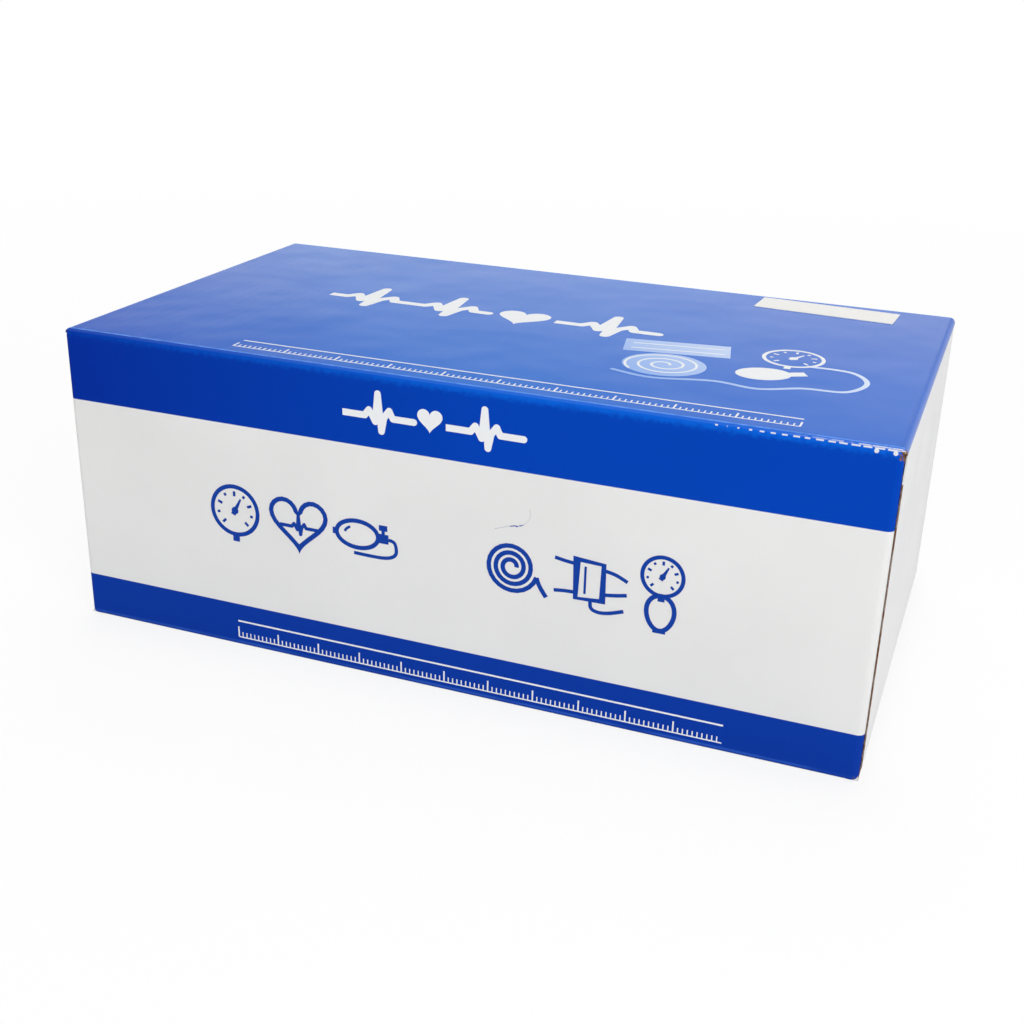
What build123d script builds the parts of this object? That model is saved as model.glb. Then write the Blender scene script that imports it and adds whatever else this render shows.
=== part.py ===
"""Closed retail carton of an aneroid sphygmomanometer, with the instrument packed inside.

The carton is a glued tube of corrugated board round the X axis. Both ends close with a flap that hangs
from the top panel and tucks in over the bottom panel, in front of two dust flaps. Inside, an arm cuff is
folded in layers on the bottom panel. The inflation bulb lies on the cuff with the release valve and the
gauge at its right end, dial towards the right end of the carton, and a hose runs in a flat coil from the
valve to the cuff. The frame: X along the carton, the printed front towards -Y, +Z up, origin at the middle
of the base. Millimetres.
"""
from math import asin, cos, degrees, pi, radians, sin, sqrt, tan
import os

from build123d import *

# Carton
carton_length = 195.0
carton_depth = 110.0
carton_height = 75.2
board = 1.6
fold_radius = 1.5
end_fold_radius = 1.4
fold_gap = 0.15
front_setback = 0.6
bottom_setback = 0.4
glue_flap_width = 15.0
glue_flap_end_gap = 8.0
label_length = 36.0
label_width = 10.8
label_thickness = 0.15
label_end_gap = 13.9
label_back_gap = 3.7
label_turn = -3.4

# End flaps
flap_side_gap = 0.2
flap_corner_in = 1.8
flap_corner_drop = 6.0
tongue_length = 13.0
tongue_side_gap = 4.0
tongue_corner = 7.0
tongue_tilt = 12.0
dust_length = 45.0
dust_gap = 0.3
dust_crease_gap = 0.1
dust_head_room = 3.0
dust_head_slope = 0.68
dust_foot = 5.5
dust_foot_slope = 0.12

# Cuff, folded in layers across the carton
cuff_layers = 5
cuff_thickness = 4.4
cuff_layer_gap = 0.4
cuff_front_gap = 0.9
cuff_back_gap = 0.8
cuff_end_gap = 0.3
cuff_gauge_gap = 4.6
seat_gap = 0.2
pocket_thickness = 2.5
pocket_edge = 8.0
pocket_end = 3.0
pocket_start = 42.0
bladder_clearance = 0.15
bladder_wall = 0.9
bladder_edge = 3.0
strip_thickness = 0.8
strip_edge = 8.0
hook_length = 60.0
loop_length = 72.0

# Hose and its port on the cuff
hose_radius = 3.5
hose_lie_gap = 0.3
hose_layer_gap = 4.2
hose_pump_gap = 19.6
hose_side_gap = 5.1
hose_end_gap = 0.1
barb_radius = 2.0
barb_clearance = 0.05
port_wall_gap = 15.4
port_share = 0.375
port_flange_radius = 5.0
port_flange_thickness = 0.8
port_radius = 4.0
port_stem_radius = 2.6
port_bore_radius = 1.2
port_shoulder = 4.5
port_reach = 10.5
port_hole_clearance = 0.2
port_run = 14.4

# Bulb, on the axis that it shares with the valve head and the gauge
pump_wall_gap = 0.8
bulb_head_gap = 3.3
bulb_wall = 2.2
bulb_half_length = 38.0
bulb_rest_gap = 0.3
neck_radius = 7.2
neck_bore_radius = 4.6
neck_length = 9.0
neck_fillet = 4.0
spigot_clearance = 0.03

# Valve head
head_spigot_length = 10.5
head_neck_gap = 0.2
head_collar_length = 3.4
head_body_length = 16.1
head_nose_length = 3.9
head_radius = 6.5
head_collar_radius = 5.5
head_edge = 1.0
head_passage_radius = 1.2
head_socket_depth = 6.0
nipple_place = 10.6
nipple_shoulder = 9.0
nipple_reach = 15.0
nipple_radius = 3.5
nipple_bore_radius = 1.2
valve_place = 5.1
valve_boss_radius = 4.2
valve_boss_top = 10.4
needle_radius = 1.95
needle_tip_radius = 0.6
needle_tip_length = 0.6
needle_cone_length = 1.8
needle_seat_height = 2.4
running_clearance = 0.05
knob_gap = 0.3
knob_radius = 5.2
knob_height = 6.5
knob_cap = 1.3
knob_ridges = 20
knob_ridge_depth = 0.35

# Check valves
ball_radius = 1.7
ball_cage_radius = 2.1
ball_seat_length = 1.5
ball_seat_radius = 2.6
ball_cage_length = 5.0
tail_flange_radius = 6.8
tail_flange_length = 2.4
tail_bore_radius = 1.5
tail_spigot_length = 7.4
disc_radius = 3.0
disc_thickness = 0.8
disc_cage_radius = 3.4
disc_cage_depth = 4.2
cage_ring_length = 1.2
filter_thickness = 0.4

# Gauge housing
gauge_end_gap = 1.4
gauge_length = 27.0
gauge_wall = 1.2
gauge_floor = 1.6
gauge_back_fillet = 4.0
bezel_over_bulb = 1.5
bezel_wall = 1.0
bezel_length = 6.0
bezel_lip_width = 3.8
bezel_lip_length = 1.9
bezel_fillet = 0.8
lens_thickness = 1.6
lens_clearance = 0.1
gasket_thickness = 1.4
dial_thickness = 0.6
dial_side_gap = 0.6
dial_hole_radius = 2.4
dial_screw_offset = 11.0
dial_post_radius = 1.6
dial_post_length = 1.4
screw_radius = 0.6
screw_head_radius = 1.3
screw_head_length = 0.6
screw_depth = 3.0
stem_radius = 3.0
stem_bore_radius = 1.2
stem_nut_across_flats = 9.0
stem_nut_length = 2.0
stem_nut_gap = 0.1

# Movement inside the gauge
capsule_thickness = 4.8
capsule_wall = 0.35
capsule_ripple = 0.5
capsule_ripples = 6
capsule_rim = 0.7
capsule_seat_thickness = 0.6
capsule_seat_width = 2.2
boss_radius = 0.8
boss_height = 0.6
plate_thickness = 1.0
plate_side_gap = 0.8
spacer_length = 4.0
pillar_radius = 1.4
pillar_gap = 0.1
pivot_radius = 0.5
pivot_end_gap = 0.1
gear_module = 0.3
pinion_teeth = 10
sector_teeth = 85
sector_cut_teeth = 13
gear_addendum = 0.85
gear_dedendum = 1.25
tooth_root_share = 0.28
tooth_tip_share = 0.11
sector_thickness = 1.0
sector_hub_radius = 1.1
sector_arm_width = 2.2
sector_rim = 1.6
pinion_length = 1.8
pinion_plate_gap = 0.2
sector_pinion_offset = 0.4
pointer_sweep = 310.0
pointer_zero = 245.0
pointer_rise = 1.4
pointer_thickness = 0.4
pointer_end_gap = 4.7
pointer_tail = 5.5
pointer_hub_radius = 1.5
pointer_hub_length = 1.6
collet_radius = 1.15
spring_rise = 0.6
spring_height = 0.6
spring_wire = 0.18
spring_step = 0.4
spring_half_turns = 8
spring_stud_radius = 0.45
rocker_offset = -3.2
rocker_rise = 1.2
rocker_plate_gap = 1.3
rocker_radius = 0.6
rocker_lug_offset = 10.6
rocker_end_reach = 0.8
rocker_arm_width = 1.2
rocker_arm_thickness = 0.6
rocker_lift_gap = 0.1
rocker_swing = 22.0
crank_pin_offset = 1.6
crank_pin_radius = 0.3
finger_width = 0.8
finger_thickness = 0.5
finger_gap = 0.08
finger_top_gap = 0.15
finger_slot_clearance = 0.2
finger_slot_height = 4.4
lug_thickness = 0.8
lug_height = 2.4

# Worked out from the values above: the carton and its flaps
half_length = carton_length / 2
half_depth = carton_depth / 2
inner_half_depth = half_depth - board
inner_top = carton_height - board
flap_top = inner_top - fold_gap
flap_foot = board + fold_gap
flap_inner_x = half_length - board
dust_outer_x = flap_inner_x - dust_gap
dust_inner_x = dust_outer_x - board

# The cuff, from the bottom panel up, and the heights and radii of what lies on it
cuff_pitch = cuff_thickness + cuff_layer_gap
cuff_bottom = board + seat_gap + strip_thickness
cuff_top = cuff_bottom + cuff_thickness + (cuff_layers - 1) * cuff_pitch
pile_top = cuff_top + strip_thickness
bend_reach = cuff_pitch / 2 + cuff_thickness / 2
cuff_front_y = -inner_half_depth + cuff_front_gap + bend_reach
cuff_back_y = inner_half_depth - board - cuff_back_gap - bend_reach
bulb_radius = (inner_top - bulb_head_gap - pile_top - bulb_rest_gap) / 2
bezel_radius = bulb_radius + bezel_over_bulb
gauge_radius = bezel_radius - bezel_wall
gauge_inner_radius = gauge_radius - gauge_wall
bezel_lip_radius = bezel_radius - bezel_lip_width
pump_y = -inner_half_depth + pump_wall_gap + bezel_radius
pump_z = pile_top + bulb_rest_gap + bulb_radius

# Places along X, from the gauge's front end to the bulb's tail
gauge_front = dust_inner_x - gauge_end_gap
gauge_back = gauge_front - gauge_length
head_right = gauge_back - stem_nut_length - 2 * stem_nut_gap
head_body_right = head_right - head_nose_length
head_body_left = head_body_right - head_body_length
neck_right = head_body_left - head_collar_length
head_left = neck_right - head_spigot_length
nipple_x = head_body_left + nipple_place
valve_x = head_body_left + valve_place
bulb_right = neck_right - neck_length
bulb_middle_x = bulb_right - bulb_half_length
bulb_left = bulb_middle_x - bulb_half_length
tail_left = bulb_left - neck_length
cuff_left = -(flap_inner_x - tongue_length - cuff_end_gap)
cuff_right = gauge_back - cuff_gauge_gap
cuff_middle_x = (cuff_left + cuff_right) / 2

# The movement, from the gauge's floor to the dial
case_floor = gauge_back + gauge_floor
case_rim = gauge_front - bezel_lip_length - lens_thickness - gasket_thickness
plate_radius = gauge_inner_radius - plate_side_gap
dial_radius = gauge_inner_radius - dial_side_gap
pointer_length = dial_radius - pointer_end_gap
pillar_offset = gauge_inner_radius - gauge_back_fillet + gauge_floor - pillar_radius - pillar_gap
capsule_radius = pillar_offset - pillar_radius - pillar_gap
capsule_back = case_floor + capsule_seat_thickness
capsule_front = capsule_back + capsule_thickness
boss_top = capsule_front + boss_height
rocker_arm_low = boss_top + rocker_lift_gap
rocker_x = rocker_arm_low + rocker_rise
back_plate_x = rocker_x + rocker_plate_gap
back_plate_top = back_plate_x + plate_thickness
pinion_x = back_plate_top + pinion_plate_gap
sector_x = pinion_x + sector_pinion_offset
spring_x = pinion_x + pinion_length + spring_rise
front_plate_x = back_plate_top + spacer_length
front_plate_top = front_plate_x + plate_thickness
dial_x = front_plate_top + dial_post_length
dial_top = dial_x + dial_thickness
pointer_x = dial_top + pointer_rise
spring_inner_radius = collet_radius + spring_wire / 2
pinion_pitch_radius = gear_module * pinion_teeth / 2
sector_pitch_radius = gear_module * sector_teeth / 2
gear_distance = pinion_pitch_radius + sector_pitch_radius
sector_swing = pointer_sweep * pinion_teeth / sector_teeth
sector_angle = degrees(asin(rocker_offset / gear_distance))
sector_pivot = (gear_distance * cos(radians(sector_angle)), gear_distance * sin(radians(sector_angle)))

# The hose's flat coil
hose_low_z = pile_top + hose_radius + hose_lie_gap
hose_high_z = hose_low_z + 2 * hose_radius + hose_layer_gap
port_y = inner_half_depth - port_wall_gap
hose_front_y = pump_y + hose_pump_gap
hose_turn = (port_y - hose_front_y) / 2
hose_middle_y = port_y - hose_turn
hose_right_x = nipple_x - hose_turn
hose_left_x = cuff_left + hose_side_gap + hose_radius + hose_turn
hose_span = hose_right_x - hose_left_x
hose_corner = hose_turn / cos(radians(15))
port_x = hose_left_x + port_share * hose_span

side_plane = Plane.YZ
end_plane = Plane.XZ
pump_plane = Plane(origin=(0, pump_y, pump_z), x_dir=(0, 1, 0), z_dir=(1, 0, 0))


def slab(outline, low, high, plane=Plane.XY):
    """A sketch of the plane, made solid between two distances along the plane's normal."""
    return plane * (Pos(0, 0, low) * extrude(outline, amount=high - low, dir=(0, 0, 1)))


def polygon(points):
    return Polygon(*points, align=None)


def rod(radius, low, high, at=(0, 0), plane=pump_plane):
    """A round bar along the plane's normal."""
    return slab(Pos(*at) * Circle(radius), low, high, plane)


def tube(outer, inner, low, high, at=(0, 0), plane=pump_plane):
    return slab(Pos(*at) * (Circle(outer) - Circle(inner)), low, high, plane)


def turned(points, plane=pump_plane):
    """A solid turned about the pump's axis from (place along it, radius) points."""
    section = polygon([(radius, along) for along, radius in points])
    return plane * revolve(Plane.XZ * section, Axis.Z)


# Carton tube

def tube_wall(corner_low, corner_high, end):
    """The part of the carton's rounded tube between two mitred corners, as (y, z) corners of its outside."""
    outside = Pos(0, carton_height / 2) * RectangleRounded(carton_depth, carton_height, fold_radius)
    inside = Pos(0, carton_height / 2) * Rectangle(carton_depth - 2 * board, carton_height - 2 * board)
    middle = (0.0, carton_height / 2)
    reach = board * 4

    def towards_middle(corner, distance):
        step_y = distance if corner[0] < middle[0] else -distance
        step_z = distance if corner[1] < middle[1] else -distance
        return (corner[0] + step_y, corner[1] + step_z)

    wedge = polygon([
        towards_middle(corner_low, -board),
        towards_middle(corner_high, -board),
        towards_middle(corner_high, reach),
        towards_middle(corner_low, reach),
    ])
    return slab((outside - inside) & wedge, -end, end, side_plane)


def round_ends(wall, along, across, outside):
    """Round the folded outer edges at both ends of a wall, which run along one axis."""
    edges = wall.edges().filter_by(along)
    outer = [edge for edge in edges if abs(edge.center().dot(across) - outside) < 0.01]
    return fillet(outer, end_fold_radius)


def top_panel():
    wall = tube_wall((-half_depth, carton_height), (half_depth, carton_height), half_length)
    return round_ends(wall, Axis.Y, Vector(0, 0, 1), carton_height)


def bottom_panel():
    return tube_wall((-half_depth, 0), (half_depth, 0), half_length - bottom_setback)


def side_panel(side):
    y = side * half_depth
    wall = tube_wall((y, 0), (y, carton_height), half_length - front_setback)
    return round_ends(wall, Axis.Z, Vector(0, side, 0), half_depth)


def glue_flap():
    """The strip of the bottom panel that is glued up the inside of the back panel."""
    length = carton_length - 2 * glue_flap_end_gap
    strip = Box(length, board, glue_flap_width, align=(Align.CENTER, Align.MAX, Align.MIN))
    return Pos(0, inner_half_depth, board) * strip


def blank_label():
    sticker = Rot(0, 0, label_turn) * RectangleRounded(label_length, label_width, 0.4)
    x = half_length - label_end_gap - label_length / 2
    y = half_depth - label_back_gap - label_width / 2
    return slab(Pos(x, y) * sticker, carton_height, carton_height + label_thickness)


# End flaps, drawn at the right end and mirrored for the left

def closure_flap():
    half_width = inner_half_depth - flap_side_gap
    outline = polygon([
        (-half_width, flap_foot),
        (half_width, flap_foot),
        (half_width, flap_top - flap_corner_drop),
        (half_width - flap_corner_in, flap_top),
        (-half_width + flap_corner_in, flap_top),
        (-half_width, flap_top - flap_corner_drop),
    ])
    flat = slab(outline, flap_inner_x, half_length, side_plane)
    section = Pos(half_length, flap_foot) * RectangleRounded(4 * board, 2 * carton_height, fold_radius)
    foot = Pos(-2 * board, carton_height) * section
    return flat & slab(foot, -carton_depth, carton_depth, end_plane)


def tuck_tongue():
    """The tongue folds in from the flap's foot and climbs a little, so that it slips out over the bottom."""
    half_width = inner_half_depth - flap_side_gap - tongue_side_gap
    flat = Box(tongue_length, 2 * half_width, board, align=(Align.MAX, Align.CENTER, Align.MIN))
    free_corners = flat.edges().filter_by(Axis.Z).group_by(Axis.X)[0]
    tilted = Rot(0, tongue_tilt, 0) * fillet(free_corners, tongue_corner)
    placed = Pos(flap_inner_x, 0, flap_foot) * tilted
    return placed & (Pos(flap_inner_x - fold_gap, 0, 0) * Box(
        4 * tongue_length, carton_depth, carton_height, align=(Align.MAX, Align.CENTER, Align.CENTER)))


def dust_flap(side):
    """A flap from the side panel's end edge, sloped along its head so that it clears the closure flap."""
    head = flap_top - dust_head_room
    crease = side * (inner_half_depth - dust_crease_gap)
    tip = crease - side * dust_length
    outline = polygon([
        (crease, dust_foot),
        (tip, dust_foot + dust_foot_slope * dust_length),
        (tip, head - dust_head_slope * dust_length),
        (crease, head),
    ])
    return slab(outline, dust_inner_x, dust_outer_x, side_plane)


# Cuff

def folded_band(low, high, first, last, start_cut=0.0, end_cut=0.0):
    """Section of a band that follows the folded cuff, between two distances from its middle line.

    Layers count up from 1 at the bottom. Odd layers run back, even ones run forward, so the band's two
    faces change places at each bend. The cuts shorten the first and the last layer.
    """
    band = None
    bend_radius = cuff_pitch / 2
    for layer in range(first, last + 1):
        odd = layer % 2 == 1
        z = cuff_bottom + cuff_thickness / 2 + (layer - 1) * cuff_pitch
        front, back = cuff_front_y, cuff_back_y
        if layer == first:
            front, back = (front + start_cut, back) if odd else (front, back - start_cut)
        if layer == last:
            front, back = (front, back - end_cut) if odd else (front + end_cut, back)
        low_z, high_z = (z + low, z + high) if odd else (z - high, z - low)
        straight = polygon([(front, low_z), (back, low_z), (back, high_z), (front, high_z)])
        band = straight if band is None else band + straight
        if layer < last:
            bend_y = cuff_back_y if odd else cuff_front_y
            outer, inner = (bend_radius - low, bend_radius - high) if odd else (
                bend_radius + high, bend_radius + low)
            half = Rectangle(2 * outer, 4 * outer, align=(Align.MIN if odd else Align.MAX, Align.CENTER))
            band += Pos(bend_y, z + bend_radius) * ((Circle(outer) - Circle(inner)) & half)
    return band


def cuff():
    body = slab(folded_band(-cuff_thickness / 2, cuff_thickness / 2, 1, cuff_layers),
                cuff_left, cuff_right, side_plane)
    pocket = slab(folded_band(-pocket_thickness / 2, pocket_thickness / 2, 3, cuff_layers,
                              pocket_start, pocket_end),
                  cuff_left + pocket_edge, cuff_right - pocket_edge, side_plane)
    hole = Pos(port_x, port_y, cuff_top) * Cylinder(port_stem_radius + port_hole_clearance, cuff_thickness)
    return body - pocket - hole


def bladder():
    half = pocket_thickness / 2 - bladder_clearance

    def bag(low, high, inset):
        section = folded_band(low, high, 3, cuff_layers, pocket_start + inset, pocket_end + inset)
        return slab(section, cuff_left + pocket_edge + inset, cuff_right - pocket_edge - inset, side_plane)

    skin = bag(-half, half, bladder_clearance)
    air = bag(bladder_wall - half, half - bladder_wall, bladder_clearance + bladder_edge)
    hole = Pos(port_x, port_y, cuff_top - cuff_thickness / 2) * Cylinder(
        port_bore_radius, cuff_thickness / 2, align=(Align.CENTER, Align.CENTER, Align.MIN))
    return skin - air - hole


def hook_strip():
    """The hook tape under the cuff's tail, which the folded cuff lies on."""
    width = cuff_right - cuff_left - 2 * strip_edge
    tape = Box(width, hook_length, strip_thickness, align=(Align.CENTER, Align.MIN, Align.MAX))
    return Pos(cuff_middle_x, cuff_front_y, cuff_bottom) * tape


def loop_strip():
    """The loop pile on the cuff's outer face, on top of the folded cuff."""
    width = cuff_right - cuff_left - 2 * strip_edge
    pile = Box(width, loop_length, strip_thickness, align=(Align.CENTER, Align.MIN, Align.MIN))
    return Pos(cuff_middle_x, cuff_front_y, cuff_top) * pile


def cuff_port():
    """An elbow that stands on the bladder through the cuff's hole and takes the hose towards +X."""
    bladder_top = cuff_top - cuff_thickness / 2 + pocket_thickness / 2 - bladder_clearance
    upright = Plane.XY.offset(0)
    at = (port_x, port_y)
    body = rod(port_flange_radius, cuff_top, cuff_top + port_flange_thickness, at, upright)
    body += rod(port_stem_radius, bladder_top, cuff_top, at, upright)
    body += rod(port_radius, cuff_top, hose_low_z, at, upright)
    body += Pos(port_x, port_y, hose_low_z) * Sphere(port_radius)
    socket = Plane(origin=(port_x, port_y, hose_low_z), x_dir=(0, 1, 0), z_dir=(1, 0, 0))
    body += rod(port_radius, 0, port_shoulder, (0, 0), socket)
    body += rod(barb_radius, 0, port_reach, (0, 0), socket)
    body -= rod(port_bore_radius, bladder_top, hose_low_z, at, upright)
    return body - rod(port_bore_radius, 0, port_reach, (0, 0), socket)


# Hose: the places along its middle line, from the cuff's port to the valve head's nipple

def around(centre_x, angle, z):
    """A corner of the coil's end, where the angle is measured from +X."""
    turn = radians(angle)
    return (centre_x + hose_corner * cos(turn), hose_middle_y + hose_corner * sin(turn), z)


def lane(share, y, z):
    """A place on a straight side of the coil, as a share of the way from its left end to its right end."""
    return (hose_left_x + share * hose_span, y, z)


def hose_route():
    start_x = port_x + port_shoulder + hose_end_gap
    first_corner = around(hose_right_x, 75, hose_low_z)
    bend_x = start_x + port_run
    nipple_mouth_y = pump_y + nipple_shoulder + hose_end_gap
    return [
        (start_x, port_y, hose_low_z),
        (bend_x, port_y, hose_low_z),
        ((bend_x + first_corner[0]) / 2, port_y - 0.8, hose_low_z),
        *[around(hose_right_x, angle, hose_low_z) for angle in (75, 45, 15, -15, -45, -75)],
        lane(0.78, hose_front_y + 0.3, hose_low_z),
        lane(0.53, hose_front_y + 1.6, hose_low_z),
        lane(0.3, hose_front_y + 0.2, hose_low_z),
        *[around(hose_left_x, angle, hose_low_z) for angle in (255, 225, 195, 165)],
        around(hose_left_x, 135, hose_low_z + 1.5),
        around(hose_left_x, 105, hose_low_z + 5.0),
        lane(0.26, port_y + 0.4, hose_high_z - 1.6),
        lane(0.45, port_y - 0.3, hose_high_z),
        lane(0.63, port_y - 0.8, hose_high_z + 0.4),
        lane(0.8, port_y + 0.1, hose_high_z),
        around(hose_right_x, 75, hose_high_z),
        around(hose_right_x, 45, hose_high_z + 0.3),
        around(hose_right_x, 15, hose_high_z + 1.6),
        (nipple_x, nipple_mouth_y + 16.5, pump_z),
        (nipple_x, nipple_mouth_y, pump_z),
    ]


def corner_radii(route, share=0.45):
    """The largest arc for each corner: a share of its shorter run, over the tangent of half the turn."""
    radii = []
    for before, here, after in zip(route, route[1:], route[2:]):
        run_in = Vector(*here) - Vector(*before)
        run_out = Vector(*after) - Vector(*here)
        turn = radians(run_in.get_angle(run_out))
        radii.append(share * min(run_in.length, run_out.length) / tan(turn / 2))
    return radii


def least_gap(path, radius, samples=400, apart=25.0):
    """The least gap between the tube and itself, on points over a set distance apart along it."""
    points = [path @ (i / samples) for i in range(samples + 1)]
    skip = int(apart / path.length * samples)
    nearest = min(
        (points[i] - points[j]).length
        for i in range(0, samples + 1, 2)
        for j in range(i + skip, samples + 1, 2)
    )
    return nearest - 2 * radius


def hose():
    route = hose_route()
    radii = corner_radii(route)
    path = FilletPolyline(*route, radius=radii)
    start = Plane(origin=path @ 0, z_dir=path % 0)
    end = Plane(origin=path @ 1, z_dir=-(path % 1))
    solid = sweep(start * Circle(hose_radius), path=path)
    section_volume = pi * hose_radius ** 2 * path.length
    print("hose: length %.1f, least radius %.1f, volume %.0f of %.0f, least gap to itself %.2f" % (
        path.length, min(radii), solid.volume, section_volume, least_gap(path, hose_radius)))
    port_barb = port_reach - port_shoulder - hose_end_gap + barb_clearance
    nipple_barb = nipple_reach - nipple_shoulder - hose_end_gap + barb_clearance
    solid -= rod(barb_radius + barb_clearance, 0, port_barb, (0, 0), start)
    return solid - rod(barb_radius + barb_clearance, 0, nipple_barb, (0, 0), end)


# Bulb and its tail valve

def bulb():
    """An egg-shaped rubber bulb with a neck at each end, hollow, turned about the pump's axis."""
    def skin(inset):
        half = bulb_half_length - inset
        return Pos(0, bulb_middle_x) * Ellipse(bulb_radius - inset, half)

    right_side = polygon([
        (0, tail_left), (neck_radius, tail_left), (neck_radius, neck_right), (0, neck_right),
    ])
    profile = (skin(0) & polygon([(0, -100), (100, -100), (100, 100), (0, 100)])) + right_side
    profile = fillet([v for v in profile.vertices() if abs(v.X - neck_radius) < 0.01
                      and bulb_left < v.Y < bulb_right], neck_fillet)
    bore = polygon([(0, tail_left - 1), (neck_bore_radius, tail_left - 1),
                    (neck_bore_radius, neck_right + 1), (0, neck_right + 1)])
    hollow = skin(bulb_wall) + bore
    return pump_plane * revolve(Plane.XZ * (profile - hollow), Axis.Z)


def tail_valve_body():
    left = tail_left - tail_flange_length
    right = tail_left + tail_spigot_length
    body = rod(tail_flange_radius, left, tail_left)
    body += rod(neck_bore_radius - spigot_clearance, tail_left, right)
    cage = rod(disc_cage_radius, right - disc_cage_depth, right)
    mouth = rod(disc_cage_radius, left, left + filter_thickness)
    return body - cage - mouth - rod(tail_bore_radius, left, right)


def tail_check_disc():
    seat = tail_left + tail_spigot_length - disc_cage_depth + running_clearance
    return rod(disc_radius, seat, seat + disc_thickness)


def tail_cage_ring():
    right = tail_left + tail_spigot_length
    return tube(disc_cage_radius, tail_bore_radius, right - cage_ring_length, right)


def intake_filter():
    left = tail_left - tail_flange_length
    return rod(disc_cage_radius, left, left + filter_thickness)


# Valve head

def valve_head():
    """The metal block between bulb and gauge, with the hose nipple and the boss of the release valve."""
    socket_left = head_right - head_socket_depth
    spigot = neck_bore_radius - spigot_clearance
    body = turned([
        (head_left, 0), (head_left, spigot), (neck_right + head_neck_gap, spigot),
        (neck_right + head_neck_gap, neck_radius), (head_body_left, neck_radius),
        (head_body_left, head_radius), (head_body_right, head_radius),
        (head_body_right + head_edge, head_collar_radius), (head_right, head_collar_radius), (head_right, 0),
    ])
    nipple_plane = Plane(origin=(nipple_x, pump_y, pump_z), x_dir=(1, 0, 0), z_dir=(0, 1, 0))
    valve_plane = Plane(origin=(valve_x, pump_y, pump_z), x_dir=(1, 0, 0), z_dir=(0, 0, 1))
    body += rod(nipple_radius, 0, nipple_shoulder, (0, 0), nipple_plane)
    body += rod(barb_radius, 0, nipple_reach, (0, 0), nipple_plane)
    body += rod(nipple_radius + 1.0, 0, head_radius + 1.2, (0, 0), nipple_plane)
    body += rod(valve_boss_radius, 0, valve_boss_top, (0, 0), valve_plane)
    cage_right = head_left + ball_seat_length + ball_cage_length
    body -= rod(ball_seat_radius, head_left, head_left + ball_seat_length)
    body -= rod(ball_cage_radius, head_left, cage_right)
    body -= rod(head_passage_radius, head_left, head_right)
    body -= rod(stem_radius + running_clearance, socket_left, head_right)
    body -= rod(nipple_bore_radius, 0, nipple_reach, (0, 0), nipple_plane)
    body -= rod(needle_radius + running_clearance, needle_seat_height, valve_boss_top, (0, 0), valve_plane)
    return body - rod(needle_tip_radius + running_clearance, 0, needle_seat_height, (0, 0), valve_plane)


def ball_seat():
    return tube(ball_seat_radius, head_passage_radius, head_left, head_left + ball_seat_length)


def check_ball():
    reach = sqrt(ball_radius ** 2 - head_passage_radius ** 2)
    return Pos(head_left + ball_seat_length + reach + running_clearance, pump_y, pump_z) * Sphere(ball_radius)


def valve_needle():
    """The release valve's needle: a cone on its seat and a stem up into the knob."""
    foot = needle_seat_height + running_clearance
    top = valve_boss_top + knob_gap + knob_height - knob_cap - running_clearance
    section = polygon([
        (0, foot - needle_tip_length), (needle_tip_radius, foot - needle_tip_length),
        (needle_tip_radius, foot),
        (needle_radius, foot + needle_cone_length), (needle_radius, top), (0, top),
    ])
    plane = Plane(origin=(valve_x, pump_y, pump_z), x_dir=(1, 0, 0), z_dir=(0, 0, 1))
    return plane * revolve(Plane.XZ * section, Axis.Z)


def valve_knob():
    plane = Plane(origin=(valve_x, pump_y, pump_z), x_dir=(1, 0, 0), z_dir=(0, 0, 1))
    low = valve_boss_top + knob_gap
    high = low + knob_height
    outline = polygon([
        (radius * cos(radians(angle)), radius * sin(radians(angle)))
        for ridge in range(knob_ridges)
        for angle, radius in (
            ((ridge + 0.25) * 360 / knob_ridges, knob_radius),
            ((ridge + 0.75) * 360 / knob_ridges, knob_radius - knob_ridge_depth),
        )
    ])
    grip = slab(outline, low, high, plane)
    grip = chamfer(grip.faces().sort_by(Axis.Z)[-1].edges(), 0.5)
    bore = needle_radius + running_clearance
    return grip - rod(bore, low, high - knob_cap, (0, 0), plane)


# Gauge housing

def gauge_case():
    cup = turned([(gauge_back, 0), (gauge_back, gauge_radius), (case_rim, gauge_radius), (case_rim, 0)])
    cup = fillet(cup.edges().filter_by(GeomType.CIRCLE).group_by(Axis.X)[0], gauge_back_fillet)
    inner = turned([(case_floor, 0), (case_floor, gauge_inner_radius),
                    (gauge_front, gauge_inner_radius), (gauge_front, 0)])
    inner = fillet(inner.edges().filter_by(GeomType.CIRCLE).group_by(Axis.X)[0],
                   gauge_back_fillet - gauge_floor)
    return cup - inner - rod(stem_radius + running_clearance, gauge_back, case_floor)


def lens_gasket():
    """A flat ring between the case's rim and the lens."""
    return tube(gauge_radius, gauge_inner_radius, case_rim, case_rim + gasket_thickness - lens_clearance)


def gauge_lens():
    front = gauge_front - bezel_lip_length - lens_clearance / 2
    return rod(gauge_radius - lens_clearance / 2, front - lens_thickness + lens_clearance / 2, front)


def gauge_bezel():
    back = gauge_front - bezel_length
    ring = tube(bezel_radius, bezel_lip_radius, back, gauge_front)
    ring -= rod(gauge_radius + lens_clearance / 2, back, gauge_front - bezel_lip_length)
    front_edges = ring.edges().filter_by(GeomType.CIRCLE).group_by(Axis.X)[-1]
    return fillet(front_edges, bezel_fillet)


def gauge_dial():
    face = Circle(dial_radius) - Circle(dial_hole_radius)
    for side in (-1, 1):
        face -= Pos(side * dial_screw_offset, 0) * Circle(screw_radius + running_clearance)
    return slab(face, dial_x, dial_top, pump_plane)


def dial_posts():
    posts = [
        tube(dial_post_radius, screw_radius + running_clearance, front_plate_top, dial_x,
             (side * dial_screw_offset, 0))
        for side in (-1, 1)
    ]
    return Compound(posts)


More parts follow.
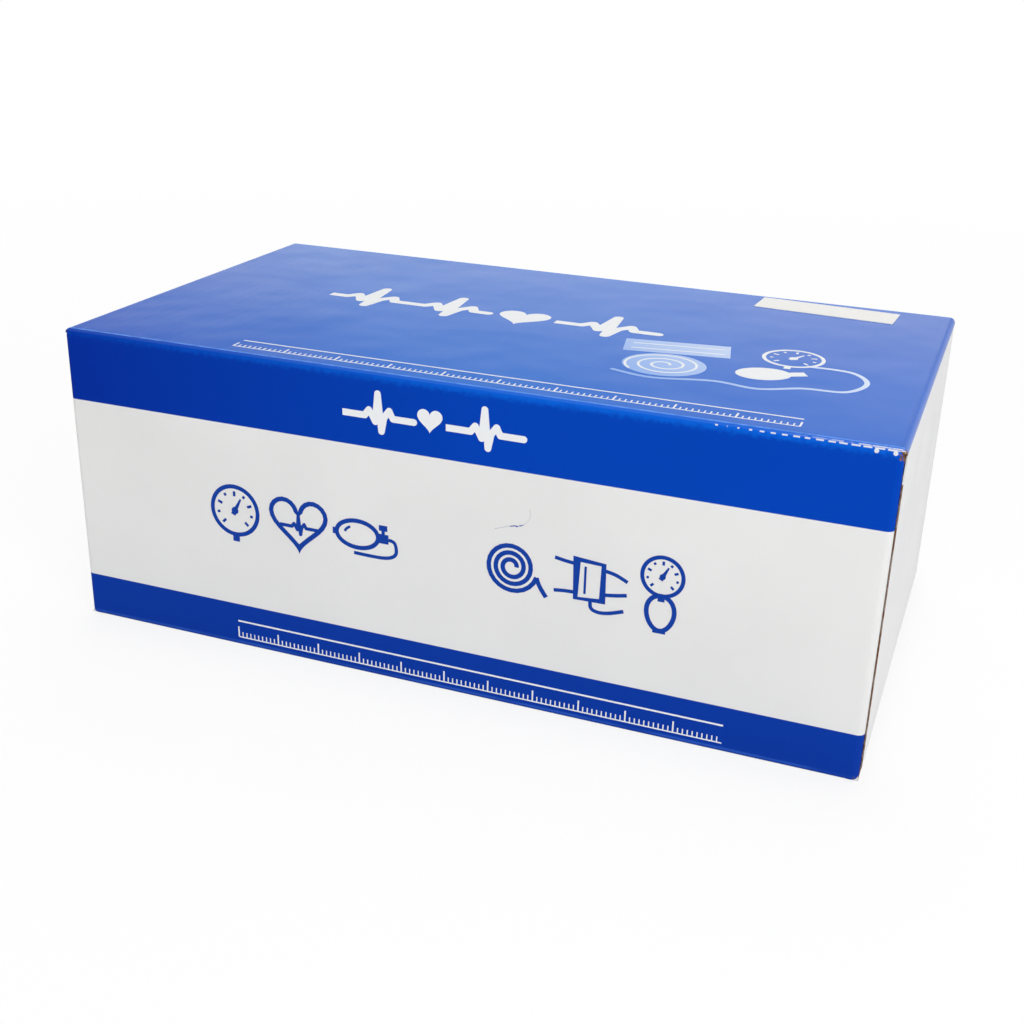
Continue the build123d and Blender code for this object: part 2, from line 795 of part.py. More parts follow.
def dial_screws():
    screws = [
        rod(screw_radius, front_plate_x, dial_top, (side * dial_screw_offset, 0))
        + rod(screw_head_radius, dial_top, dial_top + screw_head_length, (side * dial_screw_offset, 0))
        for side in (-1, 1)
    ]
    return Compound(screws)


def stem_nut():
    outline = RegularPolygon(stem_nut_across_flats / 2, 6, major_radius=False)
    outline -= Circle(stem_radius + running_clearance)
    return slab(outline, head_right + stem_nut_gap, gauge_back - stem_nut_gap, pump_plane)


# Movement

def capsule():
    """The pressure capsule: two rippled discs joined at the rim, on the stem that carries the air in."""
    middle = (capsule_back + capsule_front) / 2
    first = stem_radius + 2 * capsule_wall
    last = capsule_radius - 2 * capsule_rim
    ripples = [first + (last - first) * number / (capsule_ripples - 1) for number in range(capsule_ripples)]

    def disc(face, inset):
        side = 1 if face == capsule_front else -1
        points = []
        for number, radius in enumerate(ripples):
            ripple = capsule_ripple if number % 2 else 0.0
            points.append((face - side * (ripple + inset), radius))
        return points

    rim_outer = [(middle + capsule_rim / 2, capsule_radius), (middle - capsule_rim / 2, capsule_radius)]
    rim_inner = [(middle, capsule_radius - capsule_rim)]
    stem_end = head_right - head_socket_depth + running_clearance
    outer = [(capsule_front, 0), *disc(capsule_front, 0), *rim_outer, *reversed(disc(capsule_back, 0)),
             (capsule_back, stem_radius), (stem_end, stem_radius), (stem_end, stem_bore_radius)]
    inner = [(capsule_back + capsule_wall, stem_bore_radius), *disc(capsule_back, capsule_wall), *rim_inner,
             *reversed(disc(capsule_front, capsule_wall)), (capsule_front - capsule_wall, 0)]
    return turned(outer + inner)


def capsule_seat():
    """A washer that seats the capsule on the case's floor."""
    return tube(stem_radius + capsule_seat_width, stem_radius + running_clearance, case_floor, capsule_back)


def lift_boss():
    return rod(boss_radius, capsule_front + running_clearance, boss_top)


def at_thirds(offset):
    return [(offset * cos(radians(angle)), offset * sin(radians(angle))) for angle in (90, 210, 330)]


def movement_pillars():
    pillars = [rod(pillar_radius, case_floor, back_plate_x, at) for at in at_thirds(pillar_offset)]
    threads = [rod(screw_radius + running_clearance, back_plate_x - screw_depth, back_plate_x, at)
               for at in at_thirds(pillar_offset)]
    return Compound([pillar - thread for pillar, thread in zip(pillars, threads)])


def plate_spacers():
    return Compound([
        tube(pillar_radius, screw_radius + running_clearance, back_plate_top, front_plate_x, at)
        for at in at_thirds(pillar_offset)])


def movement_screws():
    return Compound([
        rod(screw_radius, back_plate_x - screw_depth + pivot_end_gap, front_plate_top, at)
        + rod(screw_head_radius, front_plate_top, front_plate_top + screw_head_length, at)
        for at in at_thirds(pillar_offset)])


def plate_outline():
    outline = Circle(plate_radius)
    for at in at_thirds(pillar_offset):
        outline -= Pos(*at) * Circle(screw_radius + running_clearance)
    outline -= Circle(pivot_radius + running_clearance)
    return outline - Pos(*sector_pivot) * Circle(pivot_radius + running_clearance)


def finger_place():
    """Where the rocker's finger stands along Y, from the pump's axis: beside the sector's crank pin."""
    return sector_pivot[0] - crank_pin_offset * cos(radians(sector_swing / 2))


def rocker_plane():
    return Plane(origin=(rocker_x, pump_y, pump_z + rocker_offset), x_dir=(0, 0, 1), z_dir=(0, 1, 0))


def back_plate():
    """The plate that carries both pivots, with a slot for the finger and two lugs for the rocker."""
    slot = Pos(finger_place(), rocker_offset) * Rectangle(finger_width + 2 * finger_slot_clearance,
                                                          finger_slot_height)
    plate = slab(plate_outline() - slot, back_plate_x, back_plate_top, pump_plane)
    for side in (-1, 1):
        lug = Pos(side * rocker_lug_offset, rocker_offset) * Rectangle(lug_thickness, lug_height)
        plate += slab(lug, rocker_x - rocker_rise, back_plate_x, pump_plane)
    return plate - rod(rocker_radius + running_clearance, -plate_radius, plate_radius, (0, 0), rocker_plane())


def front_plate():
    outline = plate_outline()
    for side in (-1, 1):
        outline -= Pos(side * dial_screw_offset, 0) * Circle(screw_radius + running_clearance)
    return slab(outline, front_plate_x, front_plate_top, pump_plane)


def tooth_points(teeth, centre_angle, number):
    """Corners of one tooth, as (x, y), for a gear whose tooth 0 lies at the centre angle."""
    pitch_radius = gear_module * teeth / 2
    step = 360 / teeth
    root = pitch_radius - gear_dedendum * gear_module
    tip = pitch_radius + gear_addendum * gear_module
    angle = centre_angle + number * step
    corners = (
        (root, angle - tooth_root_share * step),
        (tip, angle - tooth_tip_share * step),
        (tip, angle + tooth_tip_share * step),
        (root, angle + tooth_root_share * step),
    )
    return [(radius * cos(radians(a)), radius * sin(radians(a))) for radius, a in corners]


def pointer_arbor():
    """The arbor that carries the pinion and the spring's collet, from the back plate to the pointer."""
    facing = sector_angle
    teeth = [tooth_points(pinion_teeth, facing, number) for number in range(pinion_teeth)]
    outline = polygon([point for tooth in teeth for point in tooth])
    arbor = rod(pivot_radius, back_plate_x + pivot_end_gap, pointer_x + pointer_thickness)
    arbor += slab(outline, pinion_x, pinion_x + pinion_length, pump_plane)
    return arbor + rod(collet_radius, pinion_x + pinion_length, front_plate_x - pinion_plate_gap)


def sector_gear():
    """The toothed sector: at rest its arc is turned so that the pinion meshes near one end of it."""
    towards_pinion = sector_angle + 180
    step = 360 / sector_teeth
    numbers = [n + 0.5 for n in range(-sector_cut_teeth + 2, 2)]
    teeth = [p for n in numbers for p in tooth_points(sector_teeth, towards_pinion, n)]
    first = radians(towards_pinion + (numbers[0] - 0.7) * step)
    last = radians(towards_pinion + (numbers[-1] + 0.7) * step)
    inner = sector_pitch_radius - gear_dedendum * gear_module - sector_rim
    rim_back = [(inner * cos(a), inner * sin(a)) for a in (last, (first + last) / 2, first)]
    rim = polygon(teeth + rim_back)
    middle = degrees((first + last) / 2)
    arm = Rot(0, 0, middle) * Rectangle(inner + 0.6, sector_arm_width, align=(Align.MIN, Align.CENTER))
    hub = Circle(sector_hub_radius)
    crank_angle = 180 - sector_swing / 2
    crank = Rot(0, 0, crank_angle) * Rectangle(
        crank_pin_offset, 2 * crank_pin_radius + 0.3, align=(Align.MIN, Align.CENTER))
    pin_at = (crank_pin_offset * cos(radians(crank_angle)), crank_pin_offset * sin(radians(crank_angle)))
    outline = rim + arm + hub + crank + Pos(*pin_at) * Circle(crank_pin_radius + 0.15)
    here = Plane(pump_plane.location * Pos(*sector_pivot, 0))
    gear = slab(outline, sector_x, sector_x + sector_thickness, here)
    pin = rod(crank_pin_radius, back_plate_top + pivot_end_gap, sector_x, pin_at, here)
    pivot = rod(pivot_radius, back_plate_x + pivot_end_gap, front_plate_top - pivot_end_gap, sector_pivot)
    return gear + pin + pivot


def rocker_shaft():
    """The rocker: an arm over the capsule's boss and a finger beside the sector's crank pin."""
    left_end = -rocker_lug_offset - rocker_end_reach
    right_end = finger_place() + rocker_end_reach
    shaft = rod(rocker_radius, left_end, right_end, (0, 0), rocker_plane())
    arm_top = rocker_arm_low + rocker_arm_thickness
    arm_length = abs(rocker_offset) + boss_radius
    outline = Rectangle(rocker_arm_width, arm_length, align=(Align.CENTER, Align.MIN))
    arm = slab(Pos(0, rocker_offset) * outline, rocker_arm_low, arm_top, pump_plane)
    riser = slab(Pos(0, rocker_offset) * Rectangle(rocker_arm_width, rocker_arm_thickness),
                 rocker_arm_low, rocker_x, pump_plane)
    reach = sector_x - rocker_x - finger_top_gap
    upright = Box(reach, finger_width, finger_thickness, align=(Align.MIN, Align.CENTER, Align.MIN))
    lean = Rot(0, -rocker_swing / 2, 0) * (Pos(0, 0, crank_pin_radius + finger_gap) * upright)
    finger = Pos(rocker_x, pump_y + finger_place(), pump_z + rocker_offset) * lean
    return shaft + arm + riser + finger


def spring_end():
    """How far the spring's outer end lies from the axis."""
    return spring_step + spring_inner_radius + (spring_half_turns - 1) * spring_step


def hairspring():
    """A flat spiral of half turns about two middles, from the arbor's collet outwards."""
    spiral = None
    for number in range(spring_half_turns):
        radius = spring_inner_radius + number * spring_step
        upper = number % 2 == 0
        ring = Circle(radius + spring_wire / 2) - Circle(radius - spring_wire / 2)
        half = Rectangle(4 * radius, 2 * radius, align=(Align.CENTER, Align.MIN if upper else Align.MAX))
        turn = Pos(0 if upper else spring_step, 0) * (ring & half)
        spiral = turn if spiral is None else spiral + turn
    return slab(spiral, spring_x, spring_x + spring_height, pump_plane)


def spring_stud():
    """The pin on the front plate that holds the spring's outer end."""
    at = (spring_end() + spring_wire / 2 + spring_stud_radius, 0)
    return rod(spring_stud_radius, spring_x - spring_wire, front_plate_x, at)


def pointer():
    """A slim needle with a broad tail and a hub, at zero on the dial."""
    blade = polygon([
        (-pointer_tail, -1.1), (-pointer_tail, 1.1), (0, 0.75), (pointer_length - 2.0, 0.35),
        (pointer_length, 0), (pointer_length - 2.0, -0.35), (0, -0.75),
    ])
    blade = Rot(0, 0, pointer_zero) * blade
    flat = slab(blade + Circle(pointer_hub_radius), pointer_x, pointer_x + pointer_thickness, pump_plane)
    hub = rod(pointer_hub_radius, pointer_x - pointer_hub_length / 2, pointer_x + pointer_hub_length / 2)
    return flat + hub - rod(pivot_radius, pointer_x - pointer_hub_length, pointer_x + pointer_thickness)


def mirrored(shape):
    return mirror(shape, about=Plane.YZ)


def all_nodes():
    nodes = {
        "top_panel": top_panel(),
        "front_panel": side_panel(-1),
        "back_panel": side_panel(1),
        "bottom_panel": bottom_panel(),
        "glue_flap": glue_flap(),
        "blank_label": blank_label(),
        "cuff": cuff(),
        "bladder": bladder(),
        "hook_strip": hook_strip(),
        "loop_strip": loop_strip(),
        "cuff_port": cuff_port(),
        "hose": hose(),
        "bulb": bulb(),
        "tail_valve_body": tail_valve_body(),
        "tail_check_disc": tail_check_disc(),
        "tail_cage_ring": tail_cage_ring(),
        "intake_filter": intake_filter(),
        "valve_head": valve_head(),
        "ball_seat": ball_seat(),
        "check_ball": check_ball(),
        "valve_needle": valve_needle(),
        "valve_knob": valve_knob(),
        "gauge_case": gauge_case(),
        "gauge_bezel": gauge_bezel(),
        "gauge_lens": gauge_lens(),
        "lens_gasket": lens_gasket(),
        "gauge_dial": gauge_dial(),
        "dial_posts": dial_posts(),
        "dial_screws": dial_screws(),
        "stem_nut": stem_nut(),
        "capsule": capsule(),
        "capsule_seat": capsule_seat(),
        "lift_boss": lift_boss(),
        "movement_pillars": movement_pillars(),
        "plate_spacers": plate_spacers(),
        "movement_screws": movement_screws(),
        "back_plate": back_plate(),
        "front_plate": front_plate(),
        "pointer_arbor": pointer_arbor(),
        "sector_gear": sector_gear(),
        "rocker_shaft": rocker_shaft(),
        "hairspring": hairspring(),
        "spring_stud": spring_stud(),
        "pointer": pointer(),
    }
    right_end = {
        "closure_flap": closure_flap(),
        "tuck_tongue": tuck_tongue(),
        "front_dust_flap": dust_flap(-1),
        "back_dust_flap": dust_flap(1),
    }
    for name, shape in right_end.items():
        nodes["right_" + name] = shape
        nodes["left_" + name] = mirrored(shape)
    return nodes


def main():
    os.makedirs("parts", exist_ok=True)
    for name, shape in all_nodes().items():
        export_step(shape, "parts/%s.step" % name)


main()
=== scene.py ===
"""Looks of the boxed aneroid sphygmomanometer: printed carton, folded cuff, hose, bulb, valve and gauge.

Places are written in millimetres in the row frame and turned into metres where a mesh is made.
"""
import math

import bmesh
import bpy
import numpy as np
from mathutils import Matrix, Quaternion, Vector


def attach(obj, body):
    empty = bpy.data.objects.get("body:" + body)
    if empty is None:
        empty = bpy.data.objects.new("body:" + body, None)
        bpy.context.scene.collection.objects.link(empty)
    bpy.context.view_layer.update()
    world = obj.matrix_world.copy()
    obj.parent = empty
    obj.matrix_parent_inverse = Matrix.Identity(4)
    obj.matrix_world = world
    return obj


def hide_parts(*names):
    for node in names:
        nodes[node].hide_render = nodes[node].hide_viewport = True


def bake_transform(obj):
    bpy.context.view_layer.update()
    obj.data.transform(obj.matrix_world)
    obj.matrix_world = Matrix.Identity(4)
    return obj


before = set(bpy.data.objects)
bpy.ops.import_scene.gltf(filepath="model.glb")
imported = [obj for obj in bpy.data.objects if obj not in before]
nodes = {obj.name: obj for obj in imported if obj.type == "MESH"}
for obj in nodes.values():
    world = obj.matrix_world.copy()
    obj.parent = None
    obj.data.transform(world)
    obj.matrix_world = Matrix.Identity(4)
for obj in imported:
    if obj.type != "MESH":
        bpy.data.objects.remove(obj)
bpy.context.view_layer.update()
bpy.context.scene.view_settings.view_transform = "Standard"

MM = 0.001

# Carton
half_length = 97.5
half_depth = 55.0
height = 75.2
board = 1.6
inner_half_depth = half_depth - board
inner_top = height - board
liner = 0.28
medium = 0.2
flute_pitch = 3.0
upper_band_z = 58.0
lower_band_z = 11.6

# Closure flaps, tongues and dust flaps
flap_inner_x = 95.9
flap_half_width = 53.2
flap_foot = 1.75
flap_top = 73.45
flap_corner_in = 1.8
flap_corner_drop = 6.0
foot_radius = 1.5
tongue_length = 13.0
tongue_half_width = 49.2
tongue_corner = 7.0
tongue_tilt = 12.0
dust_inner_x = 94.0
dust_crease_y = 53.3
dust_length = 45.0
dust_free_y = dust_crease_y - dust_length
dust_head = 70.45
dust_head_slope = 0.68
dust_foot = 5.5
dust_foot_slope = 0.12

# Creases: thin strips of the sheet over the folds
head_radius = 1.36
head_middle = (96.1, height - 1.4)
foot_crease_radius = 1.46
foot_middle = (96.0, 3.25)
side_middle = (95.5, 53.47)
side_radius = 1.5

# Cuff
cuff_left = -82.6
cuff_right = 61.0
cuff_thickness = 4.4
cuff_pitch = 4.8
cuff_layers = 5
cuff_bottom = 2.6
cuff_front_y = -47.9
cuff_back_y = 46.4
cuff_top = 26.2
strip_edge = 8.0
strip_thickness = 0.8
hook_length = 60.0
loop_length = 72.0
bladder_edge = 8.4
bladder_thickness = 2.2
soft_edge = 1.4

# Stitches
stitch_pitch = 2.6
stitch_length = 1.9
stitch_radius = 0.2

# Bulb, valve and gauge, on one axis along X
pump_y = -29.6
pump_z = 48.8
bulb_middle_x = -7.0
bulb_half_length = 38.0
bulb_radius = 21.5
bulb_wall = 2.2
neck_radius = 7.2
neck_bore = 4.6
neck_left = -54.0
neck_right = 40.0
dial_top_x = 83.8
rim_reach = 18.9
number_reach = 14.5
number_size = 2.7
pointer_zero = 245.0
pointer_sweep = 310.0
full_scale = 300

# Hose: the places along its middle line
hose_diameter = 7.0
hose_places = [
    (-15.4, 38, 30.8), (-1, 38, 30.8), (17.7, 37.2, 30.8),
    (36.4, 38, 30.8), (47.6, 31.6, 30.8), (54, 20.4, 30.8), (54, 7.6, 30.8), (47.6, -3.6, 30.8),
    (36.4, -10, 30.8), (12.4, -9.7, 30.8), (-7.6, -8.4, 30.8), (-26, -9.8, 30.8),
    (-56.4, -10, 30.8), (-67.6, -3.6, 30.8), (-74, 7.6, 30.8), (-74, 20.4, 30.8),
    (-67.6, 31.6, 32.3), (-56.4, 38, 35.8), (-29.2, 38.4, 40.4), (-14, 37.7, 42),
    (0.4, 37.2, 42.4), (14, 38.1, 42), (36.4, 38, 42), (47.6, 31.6, 42.3),
    (54, 20.4, 43.6), (54, -4, 48.8), (54, -20.5, 48.8),
]

# Camera, in the photograph's place
camera_place = (114.22, -312.82, 164.57)
camera_aim = (-3.28, 0.0, 23.61)
camera_roll = 1.607
focal_length = 48.47

# Lamps: place, aim, size, energy, and whether reflections show it
lamps = {
    "key": ((430, -560, 600), (0, 0, 40), 0.6, 3.9, True),
    "fill": ((-900, -500, 520), (0, 0, 40), 1.1, 0.5, True),
    "right": ((1000, 60, 380), (90, 0, 40), 0.9, 0.4, True),
    "left": ((-1000, 140, 380), (-90, 0, 40), 0.9, 0.7, False),
    "top": ((0, 200, 1200), (0, 0, 40), 1.2, 4.4, True),
    "back": ((-300, 900, 700), (0, 0, 40), 1.0, 2.6, False),
}
world_light = 0.40
floor_half_side = 6.0
floor_drop = 0.0001


def linear(colour):
    """A colour as it looks on a screen, 0 to 255, for a shader's socket."""
    values = [c / 255 for c in colour]
    return (*(c / 12.92 if c <= 0.04045 else ((c + 0.055) / 1.055) ** 2.4 for c in values), 1.0)


def add(thing):
    bpy.context.scene.collection.objects.link(thing)
    return thing


# Node trees

class Tree:
    """A node tree that is built up in steps."""

    def __init__(self, owner, empty=True):
        owner.use_nodes = True
        self.tree = owner.node_tree
        if empty:
            self.tree.nodes.clear()

    def feed(self, socket, value):
        """Another socket's output, a plain value, or a colour of three numbers as it looks on a screen."""
        if isinstance(value, bpy.types.NodeSocket):
            self.tree.links.new(value, socket)
        elif socket.type == "RGBA" and len(value) == 3:
            socket.default_value = linear(value)
        else:
            socket.default_value = value

    def node(self, kind, inputs=None, **settings):
        made = self.tree.nodes.new("ShaderNode" + kind)
        for key, value in settings.items():
            setattr(made, key, value)
        for key, value in (inputs or {}).items():
            self.feed(made.inputs[key], value)
        return made

    def calc(self, operation, first, *others):
        """A sum, product, difference or maximum of two or more values, or a function of one."""
        if not others:
            return self.node("Math", {0: first}, operation=operation).outputs[0]
        for other in others:
            first = self.node("Math", {0: first, 1: other}, operation=operation).outputs[0]
        return first

    def times(self, *values):
        return self.calc("MULTIPLY", *values)

    def most(self, *values):
        return self.calc("MAXIMUM", *values)

    def ramp(self, value, low, high, first=0.0, last=1.0):
        """A value taken from first to last as the input goes from low to high, and held outside."""
        inputs = {"Value": value, "From Min": low, "From Max": high, "To Min": first, "To Max": last}
        return self.node("MapRange", inputs, clamp=True).outputs[0]

    def mix_shaders(self, share, first, second, output):
        mixed = self.node("MixShader", {0: share, 1: first.outputs[0], 2: second.outputs[0]})
        self.node(output, {"Surface": mixed.outputs[0]})

    def seen_directly(self):
        """1 where the camera, a reflection or a view through glass meets the surface, else 0."""
        path = self.node("LightPath").outputs
        return self.most(path["Is Camera Ray"], path["Is Glossy Ray"], path["Is Transmission Ray"])


class Paint(Tree):
    """A material. Places are the mesh's own coordinates, in millimetres."""

    def __init__(self, name, specular=0.5, sockets=None):
        self.material = bpy.data.materials.new(name)
        super().__init__(self.material, empty=False)
        self.shader = self.tree.nodes["Principled BSDF"]
        for socket, value in {"Specular IOR Level": specular, **(sockets or {})}.items():
            self.shader.inputs[socket].default_value = value
        place = self.node("TexCoord").outputs["Object"]
        self.at = self.node("VectorMath", {"Vector": place, "Scale": 1 / MM}, operation="SCALE").outputs[0]
        self.x, self.y, self.z = self.node("SeparateXYZ", {0: self.at}).outputs
        self.normal = None

    @property
    def abs_x(self):
        return self.calc("ABSOLUTE", self.x)

    @property
    def abs_y(self):
        return self.calc("ABSOLUTE", self.y)

    def between(self, value, low, high, soft):
        """1 between two limits, 0 outside, with soft edges."""
        above = self.ramp(value, low - soft, low + soft)
        return self.times(above, self.ramp(value, high - soft, high + soft, 1.0, 0.0))

    def distance(self, place):
        return self.node("VectorMath", {0: self.at, 1: place}, operation="DISTANCE").outputs["Value"]

    def stretched(self, stretch, at=None):
        return self.node("VectorMath", {0: at or self.at, 1: stretch}, operation="MULTIPLY").outputs[0]

    def noise(self, scale, detail=2.0, stretch=(1, 1, 1), roughness=0.5, at=None):
        place = self.stretched(stretch, at)
        inputs = {"Vector": place, "Scale": scale, "Detail": detail, "Roughness": roughness}
        return self.node("TexNoise", inputs).outputs[0]

    def cells(self, scale, stretch=(1, 1, 1)):
        inputs = {"Vector": self.stretched(stretch), "Scale": scale}
        return self.node("TexVoronoi", inputs).outputs["Distance"]

    def waves(self, value, pitch, phase=0.0):
        """A sine from 0 to 1 along a coordinate."""
        turn = self.node("Math", {0: value, 1: 2 * math.pi / pitch, 2: phase}, operation="MULTIPLY_ADD")
        return self.ramp(self.calc("SINE", turn.outputs[0]), -1.0, 1.0)

    def mix(self, share, first, second):
        return self.node("Mix", data_type="RGBA", inputs={0: share, 6: first, 7: second}).outputs[2]

    def shade(self, colour, amount, value):
        """The colour made lighter or darker by up to an amount, as a value goes from 0 to 1."""
        share = self.ramp(value, 0, 1, 1 - amount, 1 + amount)
        return self.node("HueSaturation", {"Color": colour, "Value": share}).outputs[0]

    def relief(self, level, depth):
        """Bumps of a depth in millimetres, added to those so far."""
        inputs = {"Height": level, "Distance": depth * MM, "Strength": 1.0}
        if self.normal is not None:
            inputs["Normal"] = self.normal
        self.normal = self.node("Bump", inputs).outputs[0]

    def finish(self, colour, roughness):
        for socket, value in (("Base Color", colour), ("Roughness", roughness), ("Normal", self.normal)):
            self.feed(self.shader.inputs[socket], value)
        return self.material


def paint_nodes(names, material):
    """The material of CAD nodes that are shown themselves."""
    for name in names:
        nodes[name].data.materials.clear()
        nodes[name].data.materials.append(material)


def stand_in(piece, node):
    """Hides a CAD node, in whose place a piece is shown."""
    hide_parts(node)


# Camera, lights and floor

def aimed(thing, place, aim, roll=0.0):
    thing.location = Vector(place) * MM
    thing.rotation_mode = "QUATERNION"
    towards = (Vector(aim) - Vector(place)).to_track_quat("-Z", "Y")
    thing.rotation_quaternion = towards @ Quaternion((0, 0, 1), math.radians(roll))


def make_camera():
    lens = bpy.data.cameras.new("camera")
    lens.sensor_width = 36.0
    lens.lens = focal_length
    lens.clip_start = 0.01
    lens.clip_end = 20.0
    eye = add(bpy.data.objects.new("camera", lens))
    aimed(eye, camera_place, camera_aim, camera_roll)
    bpy.context.scene.camera = eye


def soft_light(name, place, aim, size, energy, mirrored):
    lamp = bpy.data.lights.new(name, "AREA")
    lamp.shape = "SQUARE"
    lamp.size = size
    lamp.energy = energy
    holder = add(bpy.data.objects.new(name, lamp))
    aimed(holder, place, aim)
    holder.visible_glossy = mirrored


def make_world():
    """White where it is seen, dimmer as a light, and in reflections darker above the horizon's pale sweep."""
    world = bpy.data.worlds.new("studio")
    bpy.context.scene.world = world
    tree = Tree(world)
    sideways, _, upwards = tree.node("SeparateXYZ", {0: tree.node("TexCoord").outputs["Generated"]}).outputs
    sweep_top = tree.ramp(tree.calc("ABSOLUTE", sideways), 0.0, 0.62, 0.40, 0.255)
    sweep = tree.ramp(upwards, 0.2, sweep_top, 0.0, 0.83)
    strength = tree.calc("SUBTRACT", 1.0, tree.times(tree.node("LightPath").outputs["Is Glossy Ray"], sweep))
    white = (1, 1, 1, 1)
    lit = tree.node("Background", {"Color": white, "Strength": world_light})
    shown = tree.node("Background", {"Color": white, "Strength": strength})
    tree.mix_shaders(tree.seen_directly(), lit, shown, "OutputWorld")


def make_floor():
    """Pale paper that keeps the shadow near the carton and fades into white further away."""
    mesh = bpy.data.meshes.new("floor")
    corners = [(x * floor_half_side, y * floor_half_side, 0) for x, y in ((-1, -1), (1, -1), (1, 1), (-1, 1))]
    mesh.from_pydata(corners, [], [(0, 1, 2, 3)])
    floor = add(bpy.data.objects.new("floor", mesh))
    floor.location.z = -floor_drop
    material = bpy.data.materials.new("floor_white")
    tree = Tree(material)
    place = tree.node("TexCoord").outputs["Object"]
    away = tree.node("VectorMath", {0: place}, operation="LENGTH").outputs["Value"]
    share = tree.times(tree.seen_directly(), tree.ramp(away, 0.12, 0.7, 0.8, 1.0))
    paper = tree.node("BsdfDiffuse", {"Color": (0.95, 0.95, 0.95, 1)})
    tree.mix_shaders(share, paper, tree.node("Emission", {"Strength": 1.0}), "OutputMaterial")
    mesh.materials.append(material)


make_camera()
make_world()
make_floor()
for name, settings in lamps.items():
    soft_light(name, *settings)


# Carton materials

ink_blue = (0, 66, 181)
# Darker blue, used as painted shade on the top's folds and on the walls' upper band towards the left end.
ink_painted_shade = (0, 46, 156)
ink_deep = (10, 57, 161)
# Lighter blue, used as a painted highlight on the top's front and back folds.
ink_painted_highlight = (6, 96, 212)
# Pale blue, used as a painted highlight line along the top of those folds.
ink_highlight_line = (92, 150, 240)
sheet_white = (233, 233, 232)
kraft = (184, 144, 104)
kraft_dark = (128, 92, 62)
raw_edge = (112, 72, 50)
torn_paper = (214, 204, 194)

satin = 0.06
# White dashes along the front fold, cracked ink and painted glints on the flute ridges: their pitch, and the
# places of two white dots.
white_dash_pitch = 2.3
white_dots_x = (91.8, 95.4)
# Corners where the sheet has rubbed through: place and size
scuffs = (
    ((97.7, -54.0, height - 1.5), 1.2), ((97.2, 54.6, height - 0.6), 0.9),
    ((-97.2, 54.6, height - 0.6), 1.1), ((97.0, -54.9, 0.4), 0.7),
)


def kraft_colour(paint):
    """Brown board: long fibres, small dark specks and a mottled pulp."""
    fibre = paint.noise(2.2, 4.0, (1, 3.2, 1.4), 0.65)
    colour = paint.mix(paint.ramp(fibre, 0.35, 0.7), kraft_dark, kraft)
    colour = paint.mix(paint.ramp(paint.noise(5.5, 1.0), 0.68, 0.74, 0.0, 0.5), colour, kraft_dark)
    return paint.shade(colour, 0.14, paint.noise(0.35, 3.0)), fibre


def laminated(paint, along, ribs=0.01):
    """The litho sheet's relief: board ribs along one axis, slow waves of the wall and a fine paper tooth."""
    paint.relief(paint.waves(along, flute_pitch), ribs)
    paint.relief(paint.noise(0.03, 2.0), 0.3)
    paint.relief(paint.noise(9.0, 2.0), 0.004)


def cracked_ink(paint, colour):
    """White dashes over the flutes of the front fold, longer towards the right end, where they join: cracked
    ink that shows the white sheet, and painted glints on the flute ridges.
    """
    front = paint.times(paint.ramp(paint.y, 0.0, 1.0, 1.0, 0.0), paint.ramp(paint.abs_y, 53.9, 54.1),
                        paint.ramp(paint.x, 30.0, 40.0))
    torn = paint.noise(0.9, 3.0, (1, 0.3, 0.3))
    beat = paint.calc("ADD", paint.waves(paint.x, white_dash_pitch, 0.6), paint.ramp(torn, 0.3, 0.7, -0.3, 0.3))
    least = paint.ramp(paint.x, 52.0, 86.0, 1.25, 0.12)
    dashes = paint.times(paint.ramp(paint.calc("SUBTRACT", beat, least), 0.0, 0.1),
                         paint.between(paint.z, height - 0.6, height - 0.36, 0.05))
    line = paint.times(paint.between(paint.z, height - 0.3, height - 0.12, 0.05),
                       paint.ramp(paint.x, 74.0, 90.0), paint.ramp(torn, 0.4, 0.54, 0.0, 0.8))
    share = paint.times(paint.most(dashes, line), front)
    for x in white_dots_x:
        apart = paint.distance((x, -54.8, height - 0.95))
        share = paint.most(share, paint.ramp(apart, 0.42, 0.5, 1.0, 0.0))
    return paint.mix(paint.times(share, 0.88), colour, sheet_white)


def fold_wear(paint, ink):
    """The fold between the top and the front or back, with painted light: a painted highlight that brightens
    it, more towards the right end, a painted pale highlight line along its top, and white dashes of cracked
    ink with painted glints.
    """
    ragged = paint.ramp(paint.noise(0.8, 3.0), 0.3, 0.7, -0.5, 0.5)
    # Painted highlight on the rounded fold: a lighter blue band, stronger towards the right end.
    high = paint.ramp(paint.calc("ADD", paint.z, ragged), height - 2.0, height - 0.8)
    fold_highlight_share = paint.ramp(paint.x, -95.0, 20.0, 0.15, 0.85)
    ink = paint.mix(paint.times(high, paint.ramp(paint.abs_y, 53.7, 54.0), fold_highlight_share), ink, ink_painted_highlight)
    # A painted pale highlight line along the top of the fold, broken up by noise.
    highlight_line_breaks = paint.ramp(paint.noise(0.6, 3.0, (1, 0.2, 0.2)), 0.3, 0.6, 0.4, 0.95)
    edge = paint.times(paint.between(paint.abs_y, 53.2, 53.8, 0.08),
                       paint.ramp(paint.z, height - 0.5, height - 0.3))
    return cracked_ink(paint, paint.mix(paint.times(edge, highlight_line_breaks), ink, ink_highlight_line))


